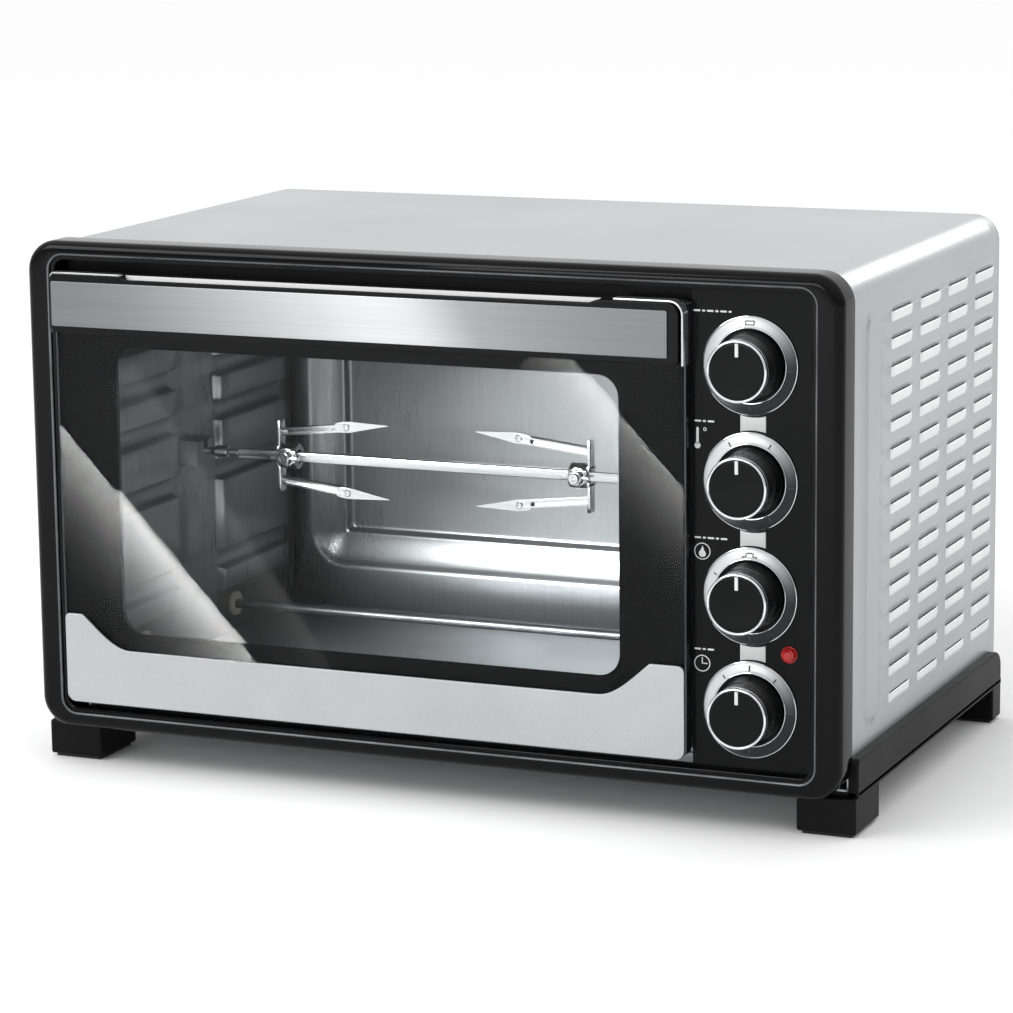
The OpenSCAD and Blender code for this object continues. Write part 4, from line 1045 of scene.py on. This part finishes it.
def makeFork(name, node, hubX, mirror):
    bm = bmesh.new()
    hub, long = spit["hub"], spit["hubLong"]
    # hub with a flat front face for the screw
    profile = [(4.7, -long / 2), (hub - 0.6, -long / 2), (hub, -long / 2 + 0.6), (hub, long / 2 - 0.6),
               (hub - 0.6, long / 2), (4.7, long / 2), (4.7, -long / 2)]
    turned(bm, profile, (0, 0, 0), "right", 40)
    for v in bm.verts:
        v.co.y = max(v.co.y, -hub + 1.2)
    heel = -long / 2
    for z0, z1, half, front, edge in ((-24, -4.6, 4.2, 0.8, 0.35), (4.6, 24, 4.2, 0.8, 0.35),
                                      (-6.6, -3.6, 6, 0.6, 0.3), (3.6, 6.6, 6, 0.6, 0.3)):
        block(bm, (heel - 1.4, -half, z0), (heel + front, half, z1), edge)
    for s in (-1, 1):
        start, bend = Vector((-long / 2, 0, s * 17)), Vector((38, 0, s * 22))
        tip = Vector((spit["prongLong"], 0, s * spit["prongOut"]))
        arm = (bend - start).normalized()
        up = Vector((-arm.z, 0, arm.x)) * s
        # the arm is a channel: two flanges and a web
        for a0, a1, b0, b1 in ((0.6, 1.8, -3.2, 3.2), (-3.2, 1.0, 1.4, 3.2), (-3.2, -2.0, -3.2, 3.2)):
            section = [up * a + Vector((0, b, 0)) for a, b in ((a0, b0), (a1, b0), (a1, b1), (a0, b1))]
            loft(bm, [[p + corner for corner in section] for p in (start, bend + arm * 4)], True)
        along = (tip - bend).normalized()
        side = Vector((-along.z, 0, along.x))
        length = (tip - bend).length
        widths = ((-3, 2.8), (0, 3.4), (4, 3.7), (8, 3.6), (length * 0.6, 1.9), (length - 0.2, 0.2))
        blade = [bend + along * t + side * w for t, w in widths]
        blade += [bend + along * t - side * w for t, w in reversed(widths)]
        loft(bm, [[p + Vector((0, y, 0)) for p in blade] for y in (-2.4, -1.0)], True)
        boss = bend + along * 5 + Vector((0, -2.3, 0))
        rivet = [(0, 0), (2.4, 0), (2.4, 0.5), (1.9, 0.9), (1.2, 0.9), (1.1, 0.2), (0, 0.2)]
        turned(bm, rivet, boss, "front", 24)
    if mirror:
        for v in bm.verts:
            v.co.x = -v.co.x
    bmesh.ops.translate(bm, verts=bm.verts, vec=(hubX, spit["y"], spit["z"]))
    makePiece(bm, name, "polishedSteel", node, [node], 32)


def makeScrew(name, node, hubX):
    bm = bmesh.new()
    front = -spit["hub"] + 1.2
    turned(bm, [(0, 3.2), (2, 3.5), (2, -front)], (0, 0, 0), "front", 24)
    washer = [(0, 0), (6.2, 0), (6.4, 0.25), (6.4, 0.8), (6.0, 1.0), (5.0, 1.0), (5.2, 1.1)]
    hexagon = [(5.4, 1.0), (5.5, 1.4), (5.5, 4.4), (4.9, 4.9), (3.7, 5.0)]
    head = [(3.7, 4.9), (3.6, 6.4), (3.2, 6.9), (1.6, 6.9), (1.3, 6.2), (0, 6.2)]
    for profile, segments in ((washer, 36), (hexagon, 6), (head, 32)):
        turned(bm, profile, (0, front, 0), "front", segments)
    block(bm, (-10, front - 4, -1.1), (10, front - 1.4, 1.1), 0.5, 2)
    bmesh.ops.translate(bm, verts=bm.verts, vec=(hubX, spit["y"], spit["z"]))
    makePiece(bm, name, "polishedSteel", node, [node], 32)


def makeBracket():
    low, high = boxOf("spit_bracket")
    t = 1.2
    y, z = spit["y"], spit["z"]
    x0, x1 = low.x, high.x
    bm = bmesh.new()
    for y0 in (low.y, high.y - t):
        block(bm, (x0, y0, low.z), (x1, y0 + t, high.z), 0.3)
    block(bm, (x0, low.y, low.z), (x1, high.y, low.z + t), 0.3)
    block(bm, (x0, low.y, low.z), (x0 + t, high.y, high.z), 0.3)
    r = 2.65
    hook = [(low.y + 0.6, low.z + 0.5), (high.y - 0.6, low.z + 0.5), (high.y - 0.6, high.z - 0.6),
            (y + r + 2, high.z - 0.6), (y + r, high.z - 2.5)]
    hook += arc(y, z, r, 0, -180, 9)
    hook += [(y - r, high.z - 2.5), (y - r - 2, high.z - 0.6), (low.y + 0.6, high.z - 0.6)]
    loft(bm, [[Vector((x, a, b)) for a, b in hook] for x in (x1 - t, x1)], True)
    makePiece(bm, "spit_rest", "zincSheet", root, ["spit_bracket"], 30)


makeSpit()
makeFork("fork_left", "left_fork", spit["leftHub"], False)
makeFork("fork_right", "right_fork", spit["rightHub"], True)
makeScrew("fork_bolt_left", "left_fork_screw", spit["leftHub"])
makeScrew("fork_bolt_right", "right_fork_screw", spit["rightHub"])
makeBracket()
print("spit made")


# ---- the CAD nodes that stay, each with its finish

kept = {"zincSheet": "rear_cover base_plate spit_motor fan_housing fan_motor thermostat "
                     "control_chassis casing_screws hinge_brackets hinge_pins function_spindle "
                     "temperature_spindle selector_spindle timer_spindle drive_socket fan_blade",
        "panelAbs": "control_panel",
        "steatite": "pilot_lamp_holder",
        "cavitySheet": "cavity_right_wall cavity_ceiling cavity_floor",
        "switchPhenolic": "function_switch selector_switch",
        "brassPlate": "timer_mechanism",
        "copperTube": "thermostat_probe",
        "rubberPad": "foot_pads",
        "grainedAbs": "cord_gland",
        "polishedSteel": "hinge_springs",
        "printedBlack": "glass_mask",
        "enamelSheet": "door_inner_frame"}
for name, nodes in kept.items():
    for node in nodes.split():
        mesh = frame["nodes"][node].data
        mesh.materials.clear()
        mesh.materials.append(finish[name])
print("kept nodes finished")


# ---- floor, lights, camera

# Metres here; turns are the camera's azimuth, tilt down and roll in degrees
stage = {"floorSize": 60.0, "lens": 133.3, "eye": (0.9526, -2.2393, 0.6376), "turns": (23.29, 11.10, -0.65)}


def makeStage():
    tree, place = startMaterial("palePaper")  # matt seamless paper
    colour = addMix(tree, addNoise(tree, place, 300.0), "#fcfcfc", "#fefefe")
    endMaterial(tree, {"Base Color": colour, "Roughness": 0.9, "Specular IOR Level": 0.1})
    bm = bmesh.new()
    half = stage["floorSize"] / 2
    corners = ((-half, -half, 0), (half, -half, 0), (half, half, 0), (-half, half, 0))
    bm.faces.new([bm.verts.new(p) for p in corners])
    mesh = bpy.data.meshes.new("studioFloor")
    bm.to_mesh(mesh)
    bm.free()
    mesh.materials.append(finish["palePaper"])
    floor = bpy.data.objects.new("studioFloor", mesh)
    bpy.context.scene.collection.objects.link(floor)


def makeWorld():
    world = bpy.data.worlds.new("softStudio")
    world.use_nodes = True
    tree = world.node_tree
    tree.nodes.clear()
    place = addNode(tree, "ShaderNodeTexCoord").outputs["Generated"]
    height = addNode(tree, "ShaderNodeSeparateXYZ", {0: place}).outputs["Z"]
    level = addRange(tree, height, 0.5, 1.15, 0.05, 0.8)
    shade = addNode(tree, "ShaderNodeBackground", {"Color": (1, 1, 1, 1), "Strength": level}).outputs[0]
    addNode(tree, "ShaderNodeOutputWorld", {"Surface": shade})
    bpy.context.scene.world = world


# Area light; shownTo limits it to some pieces, fade makes it run out towards its lower edge
def addLamp(name, place, aim, size, power, shownTo=None, turn=None, fade=False):
    data = bpy.data.lights.new(name, "AREA")
    data.shape = "RECTANGLE"
    data.size, data.size_y = size
    data.energy = power
    lamp = bpy.data.objects.new(name, data)
    bpy.context.scene.collection.objects.link(lamp)
    lamp.location = place
    lamp.rotation_mode = "QUATERNION"
    lamp.rotation_quaternion = turn if turn else (Vector(aim) - Vector(place)).to_track_quat("-Z", "Y")
    lamp.visible_camera = False
    if fade:
        data.use_nodes = True
        tree = data.node_tree
        tree.nodes.clear()
        across = addNode(tree, "ShaderNodeNewGeometry").outputs["Parametric"]
        height = addNode(tree, "ShaderNodeSeparateXYZ", {0: across}).outputs["Y"]
        level = addMath(tree, "POWER", height, 6.0)
        glow = addNode(tree, "ShaderNodeEmission", {"Strength": level}).outputs[0]
        addNode(tree, "ShaderNodeOutputLight", {"Surface": glow})
    if shownTo:
        group = bpy.data.collections.new(name + "Receivers")
        for piece in shownTo:
            group.objects.link(piece)
        lamp.light_linking.receiver_collection = group


# Card seen only in the door pane: its mirrored upper edge runs from start to end (x and z on the pane)
def addGlint(name, start, end, wide, power):
    eye = fromRow @ bpy.context.scene.camera.matrix_world.translation
    pane, depth = door["paneFront"], -130
    reach = (pane - depth) / (pane - eye.y)
    ends = [Vector((x + (x - eye.x) * reach, depth, z + (z - eye.z) * reach)) for x, z in (start, end)]
    along = (ends[1] - ends[0]).normalized()
    facing = Vector((0, -1, 0))
    across = facing.cross(along)
    wide *= 1 + reach
    middle = (ends[0] + ends[1]) / 2 - across * wide / 2
    turn = Matrix((along, across, facing)).transposed().to_quaternion()
    addLamp(name, toRow @ middle, None, ((ends[1] - ends[0]).length / 1000, wide / 1000), power,
            [bpy.data.objects["door_pane"]], turn, True)


def makeCamera():
    data = bpy.data.cameras.new("frontCamera")
    data.sensor_width = 36
    data.lens = stage["lens"]
    data.clip_start, data.clip_end = 0.05, 60
    camera = bpy.data.objects.new("frontCamera", data)
    bpy.context.scene.collection.objects.link(camera)
    azimuth, down, roll = (math.radians(a) for a in stage["turns"])
    ahead = Vector((-math.sin(azimuth) * math.cos(down), math.cos(azimuth) * math.cos(down),
                    -math.sin(down)))
    right = Vector((math.cos(azimuth), math.sin(azimuth), 0))
    up = right.cross(ahead)
    rightRolled = right * math.cos(roll) + up * math.sin(roll)
    upRolled = up * math.cos(roll) - right * math.sin(roll)
    turn = Matrix((rightRolled, upRolled, -ahead)).transposed().to_4x4()
    camera.matrix_world = Matrix.Translation(stage["eye"]) @ turn
    bpy.context.scene.camera = camera


makeStage()
makeWorld()
makeCamera()
inner = [bpy.data.objects[name] for name in ("cavity_rear", "cavity_side_left", "lower_tubes", "upper_tubes",
                                             "tube_insulators", "spit_bar", "fork_left", "fork_right",
                                             "fork_bolt_left", "fork_bolt_right", "spit_rest")]
inner += [frame["nodes"][node] for node in ("cavity_floor", "cavity_right_wall", "cavity_ceiling",
                                            "drive_socket")]
addLamp("keySoftbox", (-1.5, -1.9, 1.9), (0, 0, 0.15), (1.6, 1.2), 30)
addLamp("frontFill", (-0.6, -2.6, 0.7), (0, 0.1, 0.15), (0.9, 0.7), 10)
outer = [o for o in bpy.context.scene.objects if o.type == "MESH" and o.name != "studioFloor"]
addLamp("backSoftbox", (0.0, 3.0, 1.0), (0, 0, 0.3), (5.0, 1.6), 11, outer)
addLamp("cornerStrip", (0.76, 2.5, 1.4), (0.26, 0, 0.33), (1.0, 0.7), 14, [bpy.data.objects["casing_wrap"]])
addLamp("cavityGlow", (-0.6, -2.0, 0.8), (0.02, 0.14, 0.1), (0.9, 0.6), 105, inner)
addGlint("leftGlint", (-268, 217), (-110, 49), 120, 8)
addGlint("faintGlint", (-200, 243), (-60, 52), 100, 0.35)
addGlint("rightGlint", (90, 276), (240, 119), 100, 3.5)
bpy.context.scene.view_settings.view_transform = "Standard"
print("stage made")
